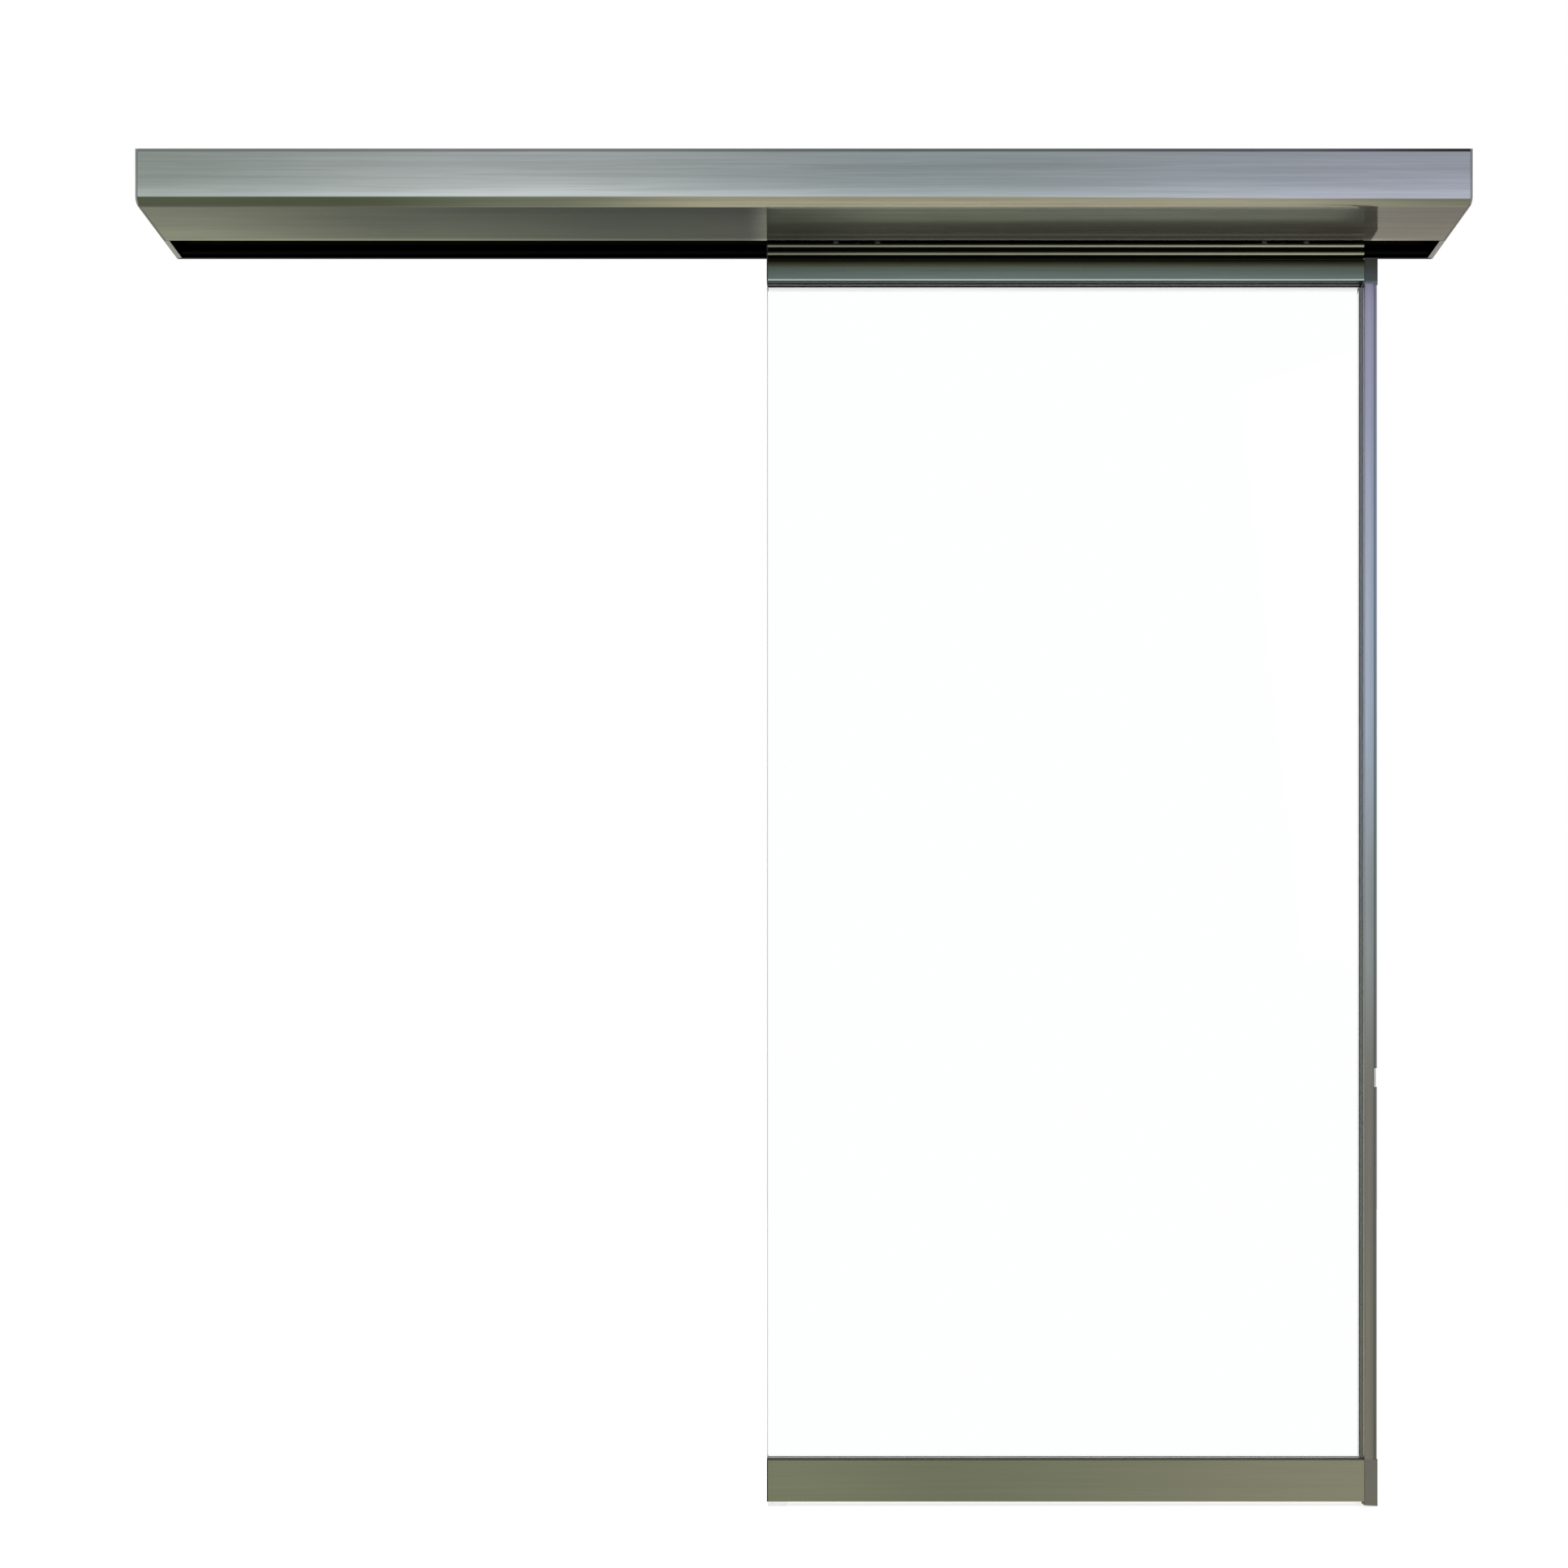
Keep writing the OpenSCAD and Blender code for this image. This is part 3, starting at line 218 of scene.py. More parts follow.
    def grains(self, size, detail=3.0):
        """Noise with lumps as long as they are wide."""
        return self.noise((size, size, size), detail)

    def vary(self, colour, value, amount):
        """colour, darker or lighter by up to amount where value, a noise, is low or high."""
        step = self.band(value, self.NOISE_LOW, self.NOISE_HIGH)
        factor = self.ramp(step, [(0, grey(1 - amount)), (1, grey(1 + amount))], ease=False)
        return self.times(colour, factor)

    def bump(self, height, distance, strength=0.3):
        """Raises the surface by up to distance, in metres, as height goes from 0 to 1."""
        n = self.tree.nodes.new("ShaderNodeBump")
        n.inputs["Strength"].default_value = strength
        n.inputs["Distance"].default_value = distance
        self.put(height, n.inputs["Height"])
        self.tree.links.new(n.outputs[0], self.bsdf.inputs["Normal"])

    def rough(self, value, low, high, smooth=None):
        """Roughness from low to high as value goes from 0 to 1, less the share that smooth says."""
        roughness = self.math("ADD", low, self.math("MULTIPLY", value, high - low))
        if smooth is not None:
            roughness = self.both(roughness, self.unless(smooth))
        self.put(roughness, self.bsdf.inputs["Roughness"])

    def metallic(self, value):
        self.put(value, self.bsdf.inputs["Metallic"])

    def done(self, colour):
        """Puts the colour on and returns the material."""
        self.put(colour, self.bsdf.inputs["Base Color"])
        return self.mat


def brushed(s, colour, axis, streak=0.05, rough=(0.24, 0.36), smooth=None):
    """Satin metal: hair lines, long wavy streaks and faint clouds along one axis, over a colour."""
    hair = s.streaks(axis, length=0.09, width=0.0011)
    wave = s.streaks(axis, length=0.42, width=0.0065, detail=3.0, waver=0.6)
    cloud = s.streaks(axis, length=0.5, width=0.06)
    s.rough(hair, *rough, smooth)
    s.bump(hair, distance=0.00001, strength=0.25)
    for noise, amount in ((hair, streak * 0.5), (wave, streak), (cloud, streak * 0.5)):
        colour = s.vary(colour, noise, amount)
    return s.done(colour)


def grained(s, colour, size, depth, amount, rough=None, detail=3.0, strength=0.3, clouds=None):
    """A fine grain over a colour, which bumps it by depth and varies it by amount.

    rough is the range of roughness, and clouds the size and the amount of broad patches.
    """
    fine = s.grains(size, detail)
    if rough:
        s.rough(fine, *rough)
    s.bump(fine, depth, strength)
    colour = s.vary(colour, fine, amount)
    if clouds:
        cloud_size, cloud_amount = clouds
        colour = s.vary(colour, s.grains(cloud_size, detail=2.0), cloud_amount)
    return s.done(colour)


# Header materials

def cover_colours(s, *stops):
    """A ramp over the cover's length, from 0 at its left end to 1 at its right end."""
    length = COVER_HI.x - COVER_LO.x
    return s.ramp(s.x, [(COVER_LO.x + length * share, colour) for share, colour in stops])


def cover_gains(s, *stops):
    """A neutral factor over the cover's length."""
    return cover_colours(s, *((share, grey(gain)) for share, gain in stops))


def cover_face(s):
    """Grey, varied along the length by painted reflection, with a painted sheen lighter towards the
    corner and painted shade along the top edge.
    """
    colour = cover_colours(s,
        (0, srgb(136, 144, 140)), (0.28, srgb(156, 162, 161)),
        (0.6, srgb(132, 141, 143)), (1, srgb(144, 148, 159)))
    # Painted sheen, lighter towards the corner
    low = s.band(s.z, COVER_HI.z - 0.010, SOFFIT + CORNER_R, "LINEAR")
    colour = s.scaled(s.both(low, low, low), colour, 1.6)
    # Painted shade along the top edge, darkest at the right-hand end
    top_edge_shade = s.band(s.z, COVER_HI.z - 0.0065, COVER_HI.z - 0.0035)
    gain = cover_gains(s, (0, 0.62), (0.5, 0.5), (0.85, 0.32), (1, 0.08))
    return s.scaled(top_edge_shade, colour, gain)


def cover_corner(s, angle):
    """Olive painted reflection, with a painted highlight on the lower part of its right-hand half.
    """
    colour = cover_colours(s,
        (0, srgb(83, 87, 69)), (0.15, srgb(80, 85, 67)), (0.3, srgb(110, 114, 95)),
        (0.45, srgb(150, 146, 123)), (0.8, srgb(153, 149, 128)), (1, srgb(118, 118, 100)))
    # Painted highlight, lighter on the lower part of the right-hand half
    right_half = s.band(s.x, COVER_LO.x + 0.60, COVER_LO.x + 0.90)
    return s.scaled(s.both(s.between(angle, 0.80, 1.50, soft=0.25), right_half), colour, 1.16)


def cover_underside(s):
    """Olive grey painted reflection, with strips of painted reflection and painted highlight that
    are lighter or darker in places, from the front to the back.
    """
    front, back = COVER_LO.y, COVER_HI.y
    colour = cover_colours(s,
        (0, srgb(114, 116, 96)), (0.2, srgb(76, 80, 64)), (0.38, srgb(58, 62, 50)),
        (0.454, srgb(58, 60, 50)), (0.48, srgb(112, 114, 99)), (0.57, srgb(134, 134, 118)),
        (0.85, srgb(132, 130, 116)), (1, srgb(114, 108, 96)))
    # Strips of painted reflection, and a painted highlight along the back edge
    strips = (
        (s.band(s.y, front + 0.036, front + 0.026),
            ((0.17, 1), (0.27, 0.76), (0.46, 0.76), (0.49, 1))),
        (s.between(s.y, front + 0.028, front + 0.044, soft=0.016),
            ((0.46, 1), (0.48, 1.2), (0.57, 1.55), (0.9, 1.6), (0.925, 1))),
        (s.band(s.y, front + 0.030, back - 0.010),
            ((0, 1.36), (0.45, 1.42), (0.48, 1), (0.92, 0.95), (0.945, 1.2), (1, 1.25))),
        (s.band(s.y, back - 0.009, back - 0.001),
            ((0, 1), (0.2, 2), (0.45, 2), (0.5, 2.5), (0.92, 2.5), (0.96, 1.3), (1, 1))),
    )
    for strip, gains in strips:
        colour = s.scaled(strip, colour, cover_gains(s, *gains))
    return colour


def cover_material():
    """Satin anodised cover: a grey face, an olive rounded corner and a polished underside, all
    coloured with painted reflection.
    """
    s = Surface("cover_anodised", Specular_IOR_Level=0.15)
    front, back = COVER_LO.y, COVER_HI.y
    # The angle round the corner, from 0 at the face to a quarter turn at the underside
    angle = s.math("ARCTAN2",
        s.math("SUBTRACT", SOFFIT + CORNER_R, s.z), s.math("SUBTRACT", front + CORNER_R, s.y))
    # The corner starts a little lower towards the right-hand end
    later = s.math("SUBTRACT", angle, s.math("MULTIPLY", s.band(s.x, 0.2, 0.9), 0.3))
    colour = s.mix(s.band(later, -0.10, 0.12), cover_face(s), cover_corner(s, angle))
    under = s.band(angle, QUARTER_TURN + 0.1, QUARTER_TURN + 0.4)
    colour = s.mix(under, colour, cover_underside(s))
    # The lip that faces the slot is darkened with painted shade
    lip = s.both(
        s.band(s.y, back - 0.0030, back - 0.0022), s.band(s.z, SOFFIT + 0.0006, SOFFIT + 0.0015))
    colour = s.mix(lip, colour, srgb(60, 60, 56))

    polished = s.both(
        s.band(angle, QUARTER_TURN - 0.2, QUARTER_TURN), s.band(s.y, back - 0.0003, back - 0.0030))
    s.metallic(s.unless(s.math("MULTIPLY", polished, 0.38)))
    return brushed(s, colour, "X", streak=0.075, rough=(0.16, 0.26), smooth=s.both(polished, 0.55))


def carrier_material():
    """Satin rear profile, darker towards the bottom, with painted shade in black on the part of its
    front that shows in the slot.
    """
    s = Surface("carrier_anodised", Metallic=1.0)
    plain = s.ramp(s.z, [(SOFFIT, srgb(128, 133, 131)), (BODY_HI.z, srgb(158, 163, 162))])
    # Painted shade: black where the front shows in the slot
    slot_shade = s.both(
        s.band(s.z, SOFFIT + 0.040, SOFFIT + 0.032),
        s.band(s.y, BODY_HI.y - 0.0005, BODY_HI.y - 0.0012))
    return brushed(s, s.mix(slot_shade, plain, SLOT_SHADE_BLACK), "X")


def end_plate_material(name, edge, foot):
    """Satin plate, lighter towards the bottom. edge is its lower edge's colour and foot that of the
    foot at the slot, both painted reflection in the tones of the cover's underside.
    """
    s = Surface(name, Metallic=1.0)
    plain = s.ramp(s.z, [(SOFFIT, srgb(140, 144, 138)), (COVER_HI.z, srgb(128, 134, 131))])
    # Painted reflection on the lower edge and the foot, as on the cover's underside
    low = s.band(s.z, SOFFIT + 0.0012, SOFFIT + 0.0004)
    slot = s.band(s.y, COVER_HI.y - 0.002, COVER_HI.y + 0.002)
    return brushed(s, s.mix(low, plain, s.mix(slot, edge, foot)), "Y", streak=0.03)


# Leaf materials

def top_rail_material():
    """Satin clamp rail with a neck in painted shade, two beads with painted highlights and a
    painted highlight along its lower edge.
    """
    s = Surface("top_rail_brushed", Specular_IOR_Level=0.1)
    _, _, upward = s.axes("Normal")
    middle = (RAIL_LO.y + RAIL_HI.y) / 2
    half = (RAIL_HI.y - RAIL_LO.y) / 2
    top = RAIL_HI.z - NECK_H
    # Painted highlight along the lower edge, and painted reflection and shade that darken the face
    # to black towards the neck
    face = s.ramp(s.z, [
        (RAIL_LO.z, srgb(100, 108, 108)),
        (RAIL_LO.z + 0.0010, srgb(206, 217, 213)),
        (RAIL_LO.z + 0.0025, srgb(118, 134, 132)),
        (top - 0.0150, srgb(108, 122, 114)),
        (top - 0.0088, srgb(80, 84, 68)),
        (top - 0.0060, srgb(62, 62, 46)),
        (top - 0.0036, srgb(38, 39, 26)),
        (top - 0.0016, srgb(7, 8, 5)),
        (top, srgb(5, 5, 3)),
    ], ease=False)

    # The beads stand out from the neck, and painted highlight and shade make them lighter at the
    # front, to the right and on their lower flanks
    out = s.math("ABSOLUTE", s.math("SUBTRACT", s.y, middle))
    bead = s.ramp(s.band(out, half - 0.0032, half, "LINEAR"), [
        (0, srgb(10, 11, 8)), (0.35, srgb(56, 57, 48)),
        (0.8, srgb(122, 123, 106)), (1, srgb(132, 133, 116))])
    bead = s.times(bead, s.ramp(s.x, [
        (RAIL_LO.x, grey(0.6)), (0.2, grey(0.74)), (RAIL_HI.x, grey(1.15))]))
    bead = s.times(bead, s.ramp(upward, [
        (-0.9, grey(3)), (-0.3, grey(1.4)), (0.2, grey(0.85)), (0.7, grey(0.5))]))
    # Painted shade: the neck between the beads is black
    neck = s.mix(s.band(out, half - 0.0044, half - 0.0034), SLOT_SHADE_BLACK, bead)
    colour = s.mix(s.band(s.z, top - 0.0004, top + 0.0002), face, neck)

    # The rail's own underside is grey at the front, and behind the glass it is painted pale, a
    # painted reflection of the white room
    below = s.band(s.z, RAIL_LO.z + 0.0006, RAIL_LO.z + 0.0002)
    behind = s.band(s.y, middle - 0.002, middle + 0.002)
    colour = s.mix(below, colour, s.mix(behind, LIP_GREY, PAINTED_PALE_REFLECTION))
    s.metallic(s.math("ADD", 0.55, s.both(below, behind, 0.45)))
    return brushed(s, colour, "X", streak=0.07)


def bottom_rail_material():
    """Olive satin rail with painted shade darkening its upper edge. Its top is matt and painted
    dark in front of the glass, and painted pale behind it as a painted reflection of the white
    room.
    """
    s = Surface("bottom_rail_brushed", Specular_IOR_Level=0.0)
    face = s.ramp(s.x, [
        (BASE_LO.x, srgb(121, 125, 101)),
        (BASE_LO.x + 0.3, srgb(114, 118, 95)),
        (BASE_HI.x, srgb(133, 132, 111)),
    ])
    edge = s.ramp(s.x, [(BASE_LO.x, srgb(52, 55, 42)), (BASE_HI.x, srgb(84, 86, 70))])
    # Painted shade along the upper edge of the face
    colour = s.mix(s.band(s.z, BASE_HI.z - 0.0022, BASE_HI.z - 0.0006), face, edge)
    top = s.band(s.z, BASE_HI.z - 0.0008, BASE_HI.z - 0.0003)
    behind = s.band(s.y, GLASS_LO.y - 0.003, GLASS_LO.y - 0.001)
    # Painted shade: the matt top in front of the glass is dark
    matt = s.both(top, s.unless(behind))
    colour = s.mix(matt, colour, srgb(90, 92, 80))
    s.metallic(s.unless(matt))
    # Painted reflection: the top behind the glass is pale
    return brushed(s, s.mix(s.both(top, behind), colour, PAINTED_PALE_REFLECTION), "X", streak=0.03)


def height_colours(s, *stops):
    """A ramp over the height above the leaf's lower edge, in metres."""
    return s.ramp(s.z, [(BASE_LO.z + height, colour) for height, colour in stops])


def stile_material():
    """The front goes from warm grey up to a bluish lilac in painted reflection, with painted shade
    towards its right-hand edge and where it turns to the left, and the side has its own greys,
    painted pale behind the glass as a painted reflection of the white room.
    """
    s = Surface("stile_brushed", Metallic=1.0)
    rightward, _, _ = s.axes("Normal")
    front = height_colours(s,
        (0.1, srgb(122, 119, 107)), (0.65, srgb(120, 118, 110)), (0.95, srgb(140, 146, 147)),
        (1.35, srgb(163, 175, 192)), (2.03, srgb(150, 149, 174)))
    side = height_colours(s,
        (0.1, srgb(133, 134, 119)), (0.7, srgb(128, 133, 124)), (1.2, srgb(130, 139, 146)),
        (2.03, srgb(126, 130, 136)))
    # Painted reflection: the side is pale behind the glass
    side = s.mix(s.band(s.y, GLASS_LO.y, GLASS_HI.y), side, PAINTED_PALE_REFLECTION)
    # Painted shade towards the right-hand edge and where the front turns to the left
    front = s.scaled(s.band(s.x, STILE_LO.x + 0.007, STILE_HI.x), front, 0.82)
    front = s.scaled(s.band(rightward, -0.1, -0.4), front, 0.8)
    return brushed(s, s.mix(s.band(rightward, -0.6, -0.8), front, side), "Z")


def nose_material():
    """Rubber that takes the stile's colours of painted light, warm below and bluish above, and is
    darker towards its tip.
    """
    s = Surface("nose_rubber", Roughness=0.55, Specular_IOR_Level=0.3)
    # Painted light: the tint changes with height as on the stile
    skin = height_colours(s,
        (0.1, srgb(104, 106, 92)), (0.75, srgb(102, 107, 102)), (1.0, srgb(104, 119, 118)),
        (1.6, srgb(114, 136, 160)), (2.03, srgb(120, 125, 150)))
    tip = s.band(s.x, STILE_HI.x + 0.0035, STILE_HI.x + 0.006)
    colour = s.mix(s.both(tip, 0.3), s.times(skin, 0.86), srgb(80, 84, 82))
    return grained(s, colour, size=0.0007, depth=0.00003, amount=0.05)


def stile_gasket_material():
    """Like the side of the stile, with its tints of painted light, and painted pale behind the
    glass as a painted reflection of the white room.
    """
    s = Surface("stile_gasket_rubber", Roughness=0.5, Specular_IOR_Level=0.35)
    skin = height_colours(s,
        (0.1, srgb(130, 131, 117)), (0.8, srgb(124, 130, 124)), (1.3, srgb(128, 137, 145)),
        (2.03, srgb(124, 128, 135)))
    # Painted reflection: pale behind the glass
    behind = s.band(s.y, GLASS_LO.y, GLASS_HI.y)
    s.metallic(s.both(behind, 0.85))
    return grained(s, s.mix(behind, skin, PAINTED_PALE_REFLECTION), size=0.0007, depth=0.00003, amount=0.05)


def pale_reflection_gasket_material(name, front, start):
    """A gasket painted pale as a painted reflection of the white room, whose lip in front of start
    has a colour of its own.
    """
    s = Surface(name, Metallic=0.85)
    # Painted reflection: pale behind the lip
    skin = s.mix(s.band(s.y, start, start + 0.001), front, PAINTED_PALE_REFLECTION)
    return grained(s, skin, size=0.0009, depth=0.00002, amount=0.01, rough=(0.3, 0.42))


def glass_material():
    """Clear glass with faint smears, and on the left, where it has no frame, a ground edge whose
    grey is partly the ground glass and partly painted shade.
    """
    s = Surface("clear_glass", Base_Color=(0.985, 0.996, 0.99, 1), IOR=1.5, Transmission_Weight=1.0)
    smear = s.noise(size=(0.33, 0.33, 0.8), detail=2.0)
    s.rough(s.band(smear, 0.45, 0.8), 0.0, 0.015)
    ground = s.tree.nodes.new("ShaderNodeBsdfPrincipled")
    ground.inputs["Roughness"].default_value = 0.6
    ground.inputs["Base Color"].default_value = srgb(196, 204, 200)
    # Partly painted shade: the grey of the left-hand edge
    edge = s.band(s.x, GLASS_LO.x + 0.0016, GLASS_LO.x + 0.0008)
    s.put(mix_shader(s.tree, edge, s.bsdf.outputs[0], ground.outputs[0]), s.out.inputs["Surface"])
    return s.mat


def block_material(name, node, lip, low, high):
    """A moulded corner block, with the colours of its lower edge, of its foot and of its top."""
    s = Surface(name, Specular_IOR_Level=0.35)
    lo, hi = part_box(node)
    colour = s.ramp(s.z, [(lo.z, lip), (lo.z + 0.007, low), (hi.z, high)])
    return grained(s, colour, size=0.0008, depth=0.00004, amount=0.04,
        rough=(0.42, 0.55), detail=4.0, strength=0.35)


# Materials by kind

def plastic(name, colour, size=0.0007, depth=0.00004, rough=(0.42, 0.55), amount=0.04):
    """Moulded plastic, of which rubber is a coarser and duller kind."""
    s = Surface(name, Specular_IOR_Level=0.4)
    return grained(s, colour, size, depth, amount, rough,
        detail=4.0, strength=0.35, clouds=(0.055, amount))


def rubber(name, colour):
    return plastic(name, colour, size=0.0005, depth=0.00005, rough=(0.62, 0.8), amount=0.07)


def steel(name, colour, axis="X", rough=(0.24, 0.40), spangle=0.06):
    """Plated, turned or milled metal: fine lines along axis, with faint patches."""
    s = Surface(name, Metallic=1.0)
    lines = s.streaks(axis, length=0.03, width=0.0009)
    patches = s.grains(0.018)
    s.rough(patches, *rough)
    s.bump(lines, distance=0.00002)
    return s.done(s.vary(s.vary(colour, lines, 0.05), patches, spangle))


def guide_material():
    """White moulded plastic, drawn as a near-white mirror whose painted reflection of the pale
    floor takes the place of its shade.
    """
    s = Surface("guide_white_plastic", Metallic=1.0)
    # Painted reflection: a near-white mirror in place of the plastic's shade
    return grained(s, PAINTED_PALE_REFLECTION, size=0.0008, depth=0.00001, amount=0.01,
        rough=(0.12, 0.2), strength=0.2)


def cast(name, colour):
    """Die-cast metal with a coarse skin."""
    s = Surface(name, Metallic=1.0)
    return grained(s, colour, size=0.0015, depth=0.00012, amount=0.08,
        rough=(0.42, 0.58), detail=4.0, strength=0.5, clouds=(0.025, 0.05))


def painted(name, colour):
    """Powder paint on sheet metal, under a thin gloss."""
    s = Surface(name, Coat_Weight=0.25, Coat_Roughness=0.3)
    return grained(s, colour, size=0.0024, depth=0.00004, amount=0.04,
        rough=(0.34, 0.46), detail=2.0)


def wheel_material(name, axle, bearing_r, tyre):
    """A moulded tyre round a sealed steel bearing, told apart by the distance from the axle."""
    s = Surface(name)
    dx = s.math("SUBTRACT", s.x, axle.x)
    dz = s.math("SUBTRACT", s.z, axle.z)
    radius = s.math("SQRT", s.math("ADD", s.math("MULTIPLY", dx, dx), s.math("MULTIPLY", dz, dz)))
    bearing = s.band(radius, bearing_r + 0.0002, bearing_r - 0.0002)
    seal = s.between(radius, bearing_r * 0.62, bearing_r * 0.86, soft=0.0003)
    colour = s.mix(bearing, tyre, s.mix(seal, BRIGHT_STEEL, srgb(26, 27, 28)))
    s.metallic(s.both(bearing, s.unless(seal)))
    return grained(s, colour, size=0.0007, depth=0.00003, amount=0.05, rough=(0.34, 0.5))


# Every node gets its material

def assign(material, *names):
    for name in names:
        slots = nodes[name].data.materials
        slots.clear()
        slots.append(material)


assign(cover_material(), "front_cover")
assign(carrier_material(), "carrier_profile")
assign(end_plate_material("end_plate_left_anodised", srgb(117, 117, 104), srgb(150, 149, 138)),
    "end_plate_left")
assign(end_plate_material("end_plate_right_anodised", srgb(122, 119, 112), srgb(146, 141, 133)),
    "end_plate_right")

assign(top_rail_material(), "top_rail")
assign(bottom_rail_material(), "bottom_rail")
assign(stile_material(), "leading_stile")
assign(nose_material(), "nose_seal")
assign(stile_gasket_material(), "stile_gasket")
assign(pale_reflection_gasket_material("top_gasket_rubber", LIP_GREY, GLASS_LO.y - 0.0008), "top_gasket")
assign(pale_reflection_gasket_material("bottom_gasket_rubber", srgb(96, 98, 86), GLASS_LO.y - 0.0036),
    "bottom_gasket")
assign(glass_material(), "glass_pane")
assign(block_material("top_block_plastic", "top_corner_block",
    srgb(100, 108, 118), srgb(64, 70, 72), srgb(56, 57, 54)), "top_corner_block")
assign(block_material("bottom_block_plastic", "bottom_corner_block",
    srgb(112, 111, 98), srgb(108, 107, 95), srgb(104, 103, 92)), "bottom_corner_block")

assign(steel("bracket_steel", srgb(150, 153, 155), rough=(0.3, 0.46), spangle=0.09),
    "stop_brackets", "motor_bracket", "idler_bracket", "tension_anchor",
    "carriage_plate_1", "carriage_plate_2", "belt_clamp_arm", "belt_clamp_jaws")
assign(steel("zinc_plated", BRIGHT_STEEL),
    "end_plate_screws", "channel_bolts", "belt_clamp_screws",
    "tension_screw", "hanger_nuts", "edge_keeper")
assign(steel("bolt_zinc", srgb(168, 170, 172), "Z"), "hanger_bolts")
assign(steel("spring_steel", srgb(120, 124, 130), rough=(0.2, 0.3)), "cover_clips")
assign(steel("turned_steel", srgb(132, 135, 140), "Y", rough=(0.2, 0.3), spangle=0.04),
    "output_shaft", "idler_axle", "wheel_axles_1", "wheel_axles_2")
assign(steel("mill_aluminium", srgb(182, 185, 185), rough=(0.22, 0.32), spangle=0.03),
    "running_rail", "drive_pulley", "idler_pulley")
assign(cast("die_cast_aluminium", srgb(138, 142, 145)), "gearbox_housing", "gearbox_cover")
assign(painted("satin_black_paint", srgb(52, 54, 57)), "motor_can")
assign(painted("supply_grey_paint", srgb(160, 162, 164)), "power_supply")
assign(plastic("case_black_plastic", srgb(40, 42, 45)), "encoder_cap", "control_case")
assign(plastic("battery_black_sleeve", srgb(34, 37, 44),
    size=0.0014, depth=0.00003, rough=(0.3, 0.42)), "battery_pack")
assign(plastic("terminal_green_plastic", srgb(70, 124, 84)), "control_terminals")
assign(plastic("cap_black_plastic", srgb(38, 40, 38)), "top_rail_end_cap", "bottom_rail_end_cap")
assign(guide_material(), "guide_base", "guide_blade")
assign(rubber("belt_rubber", srgb(26, 26, 27)), "toothed_belt")
assign(rubber("buffer_rubber", srgb(28, 29, 28)), "stop_buffers", "cable_grommet")
assign(rubber("damping_rubber", srgb(16, 17, 16)), "rail_damping_strip")

ROLLING = [(f"wheel_{number}", WHEEL_BEARING_R, srgb(44, 44, 46)) for number in (1, 2, 3, 4)]
ROLLING += [(f"counter_roller_{number}", ROLLER_BEARING_R, srgb(48, 48, 50)) for number in (1, 2)]
for name, bearing_r, tyre in ROLLING:
    low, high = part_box(name)
    assign(wheel_material(f"{name}_plastic", (low + high) / 2, bearing_r, tyre), name)


# World, lamps, floor and camera

def seen_share(tree):
    """1 for a ray from the camera, off gloss or through glass, and 0 for the rest."""
    rays = tree.nodes.new("ShaderNodeLightPath")
    share = rays.outputs["Is Camera Ray"]
    for kind in ("Is Glossy Ray", "Is Transmission Ray"):
        widest = tree.nodes.new("ShaderNodeMath")
        widest.operation = "MAXIMUM"
        tree.links.new(share, widest.inputs[0])
        tree.links.new(rays.outputs[kind], widest.inputs[1])
        share = widest.outputs[0]
    return share


def make_world():
    """White where it is seen, and a plain softer light on the object."""
    world = bpy.data.worlds.new("studio")
    bpy.context.scene.world = world
    world.use_nodes = True
    tree = world.node_tree
    tree.nodes.clear()
    strength = tree.nodes.new("ShaderNodeMapRange")
    tree.links.new(seen_share(tree), strength.inputs[0])
    strength.inputs[TO_START].default_value = ROOM_LIGHT
    strength.inputs[TO_END].default_value = 1.0
    background = tree.nodes.new("ShaderNodeBackground")
    background.inputs["Color"].default_value = grey(1)
    tree.links.new(strength.outputs[0], background.inputs["Strength"])
    out = tree.nodes.new("ShaderNodeOutputWorld")
    tree.links.new(background.outputs[0], out.inputs["Surface"])


def make_lamp(name, place, target, watts):
    """A square lamp at place, turned towards target, that neither the camera nor gloss shows."""
    data = bpy.data.lights.new(name, "AREA")
    data.shape = "SQUARE"
    data.size = LAMP_SIZE
    data.energy = watts
    o = bpy.data.objects.new(name, data)
    bpy.context.scene.collection.objects.link(o)
    o.location = place
    o.rotation_mode = "QUATERNION"
    o.rotation_quaternion = (Vector(target) - Vector(place)).to_track_quat("-Z", "Y")
    o.visible_glossy = False
    o.visible_camera = False


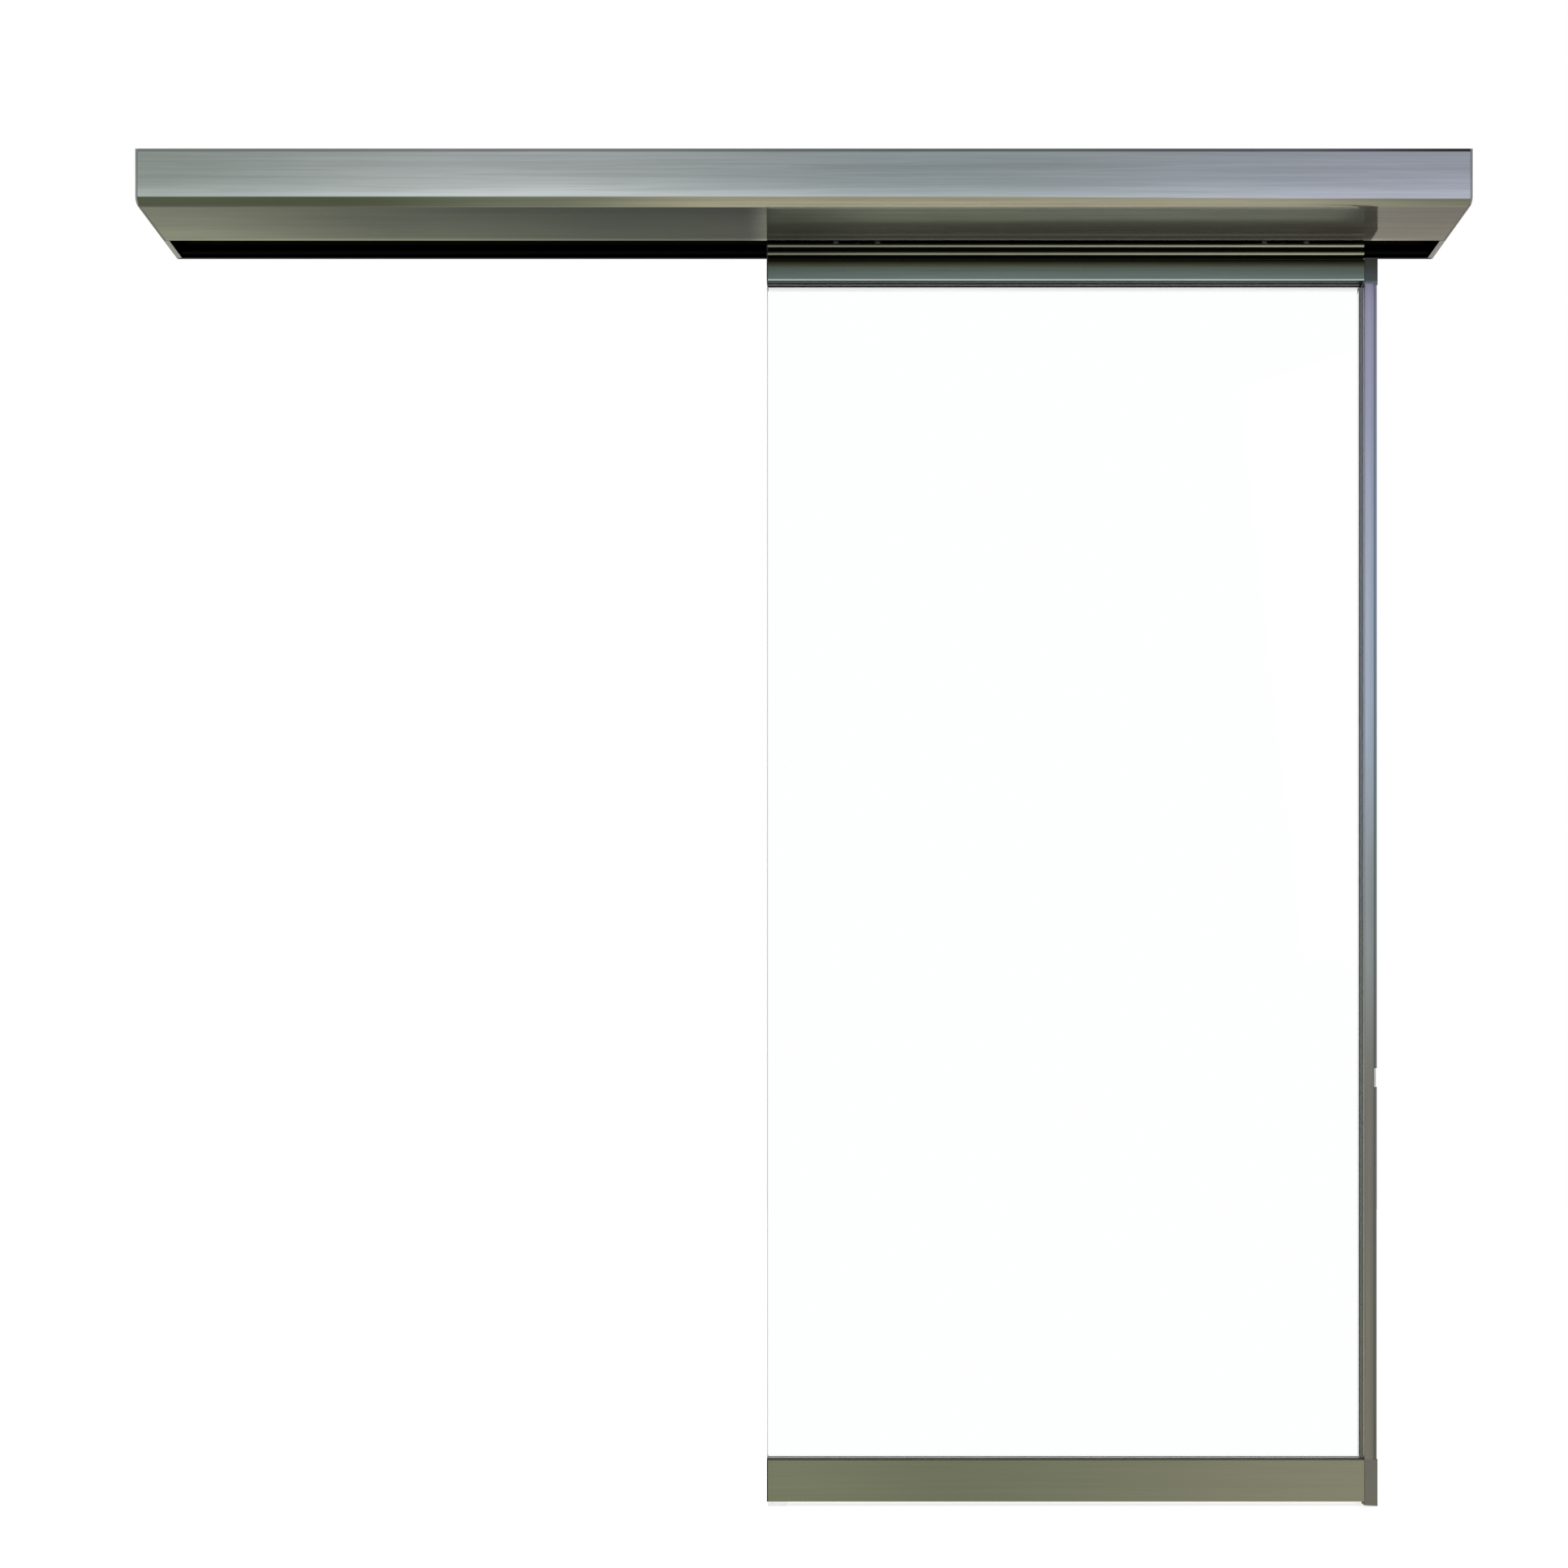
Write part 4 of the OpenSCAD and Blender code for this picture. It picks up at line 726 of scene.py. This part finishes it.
def floor_material():
    """White where it is seen, with a faint shadow, and clear from below."""
    mat = bpy.data.materials.new("pale_floor")
    mat.use_nodes = True
    tree = mat.node_tree
    tree.nodes.clear()
    matt = tree.nodes.new("ShaderNodeBsdfDiffuse")
    matt.inputs["Color"].default_value = grey(FLOOR_WHITE)
    glow = tree.nodes.new("ShaderNodeEmission")
    glow.inputs["Strength"].default_value = ROOM_LIGHT
    lit = tree.nodes.new("ShaderNodeAddShader")
    tree.links.new(matt.outputs[0], lit.inputs[0])
    tree.links.new(glow.outputs[0], lit.inputs[1])
    white = tree.nodes.new("ShaderNodeEmission")
    rays = tree.nodes.new("ShaderNodeLightPath")
    # Gloss and glass show plain white, and the camera the matt floor with a glow and the shadow
    seen = mix_shader(tree, seen_share(tree), matt.outputs[0], white.outputs[0])
    seen = mix_shader(tree, rays.outputs["Is Camera Ray"], seen, lit.outputs[0])
    clear = tree.nodes.new("ShaderNodeBsdfTransparent")
    side = tree.nodes.new("ShaderNodeNewGeometry")
    out = tree.nodes.new("ShaderNodeOutputMaterial")
    surface = mix_shader(tree, side.outputs["Backfacing"], seen, clear.outputs[0])
    tree.links.new(surface, out.inputs["Surface"])
    return mat


def make_floor():
    """A large square that is only there for the picture."""
    mesh = bpy.data.meshes.new("floor")
    corners = [(FLOOR_HALF * across, FLOOR_HALF * along, FLOOR)
        for across, along in ((-1, -1), (1, -1), (1, 1), (-1, 1))]
    mesh.from_pydata(corners, [], [(0, 1, 2, 3)])
    mesh.materials.append(floor_material())
    floor = bpy.data.objects.new("floor", mesh)
    bpy.context.scene.collection.objects.link(floor)


def make_camera():
    """Level and square to the door, 0.66 m above the floor, with the lens shifted up."""
    data = bpy.data.cameras.new("camera")
    data.sensor_width = SENSOR_MM
    data.lens = LENS_MM
    data.shift_x = LENS_SHIFT_X
    data.shift_y = LENS_SHIFT_Y
    data.clip_start = CLIP_START
    data.clip_end = CLIP_END
    camera = bpy.data.objects.new("camera", data)
    bpy.context.scene.collection.objects.link(camera)
    camera.location = EYE
    camera.rotation_mode = "XYZ"
    camera.rotation_euler = (QUARTER_TURN, 0, 0)
    bpy.context.scene.camera = camera


make_world()
make_lamp("key", place=(-2.6, -4.2, 1.4), target=(0, -0.1, -0.8), watts=60)
make_lamp("fill", place=(3.0, -3.6, 0.4), target=(0, -0.1, -0.9), watts=30)
make_floor()
make_camera()
bpy.context.scene.view_settings.view_transform = "Standard"
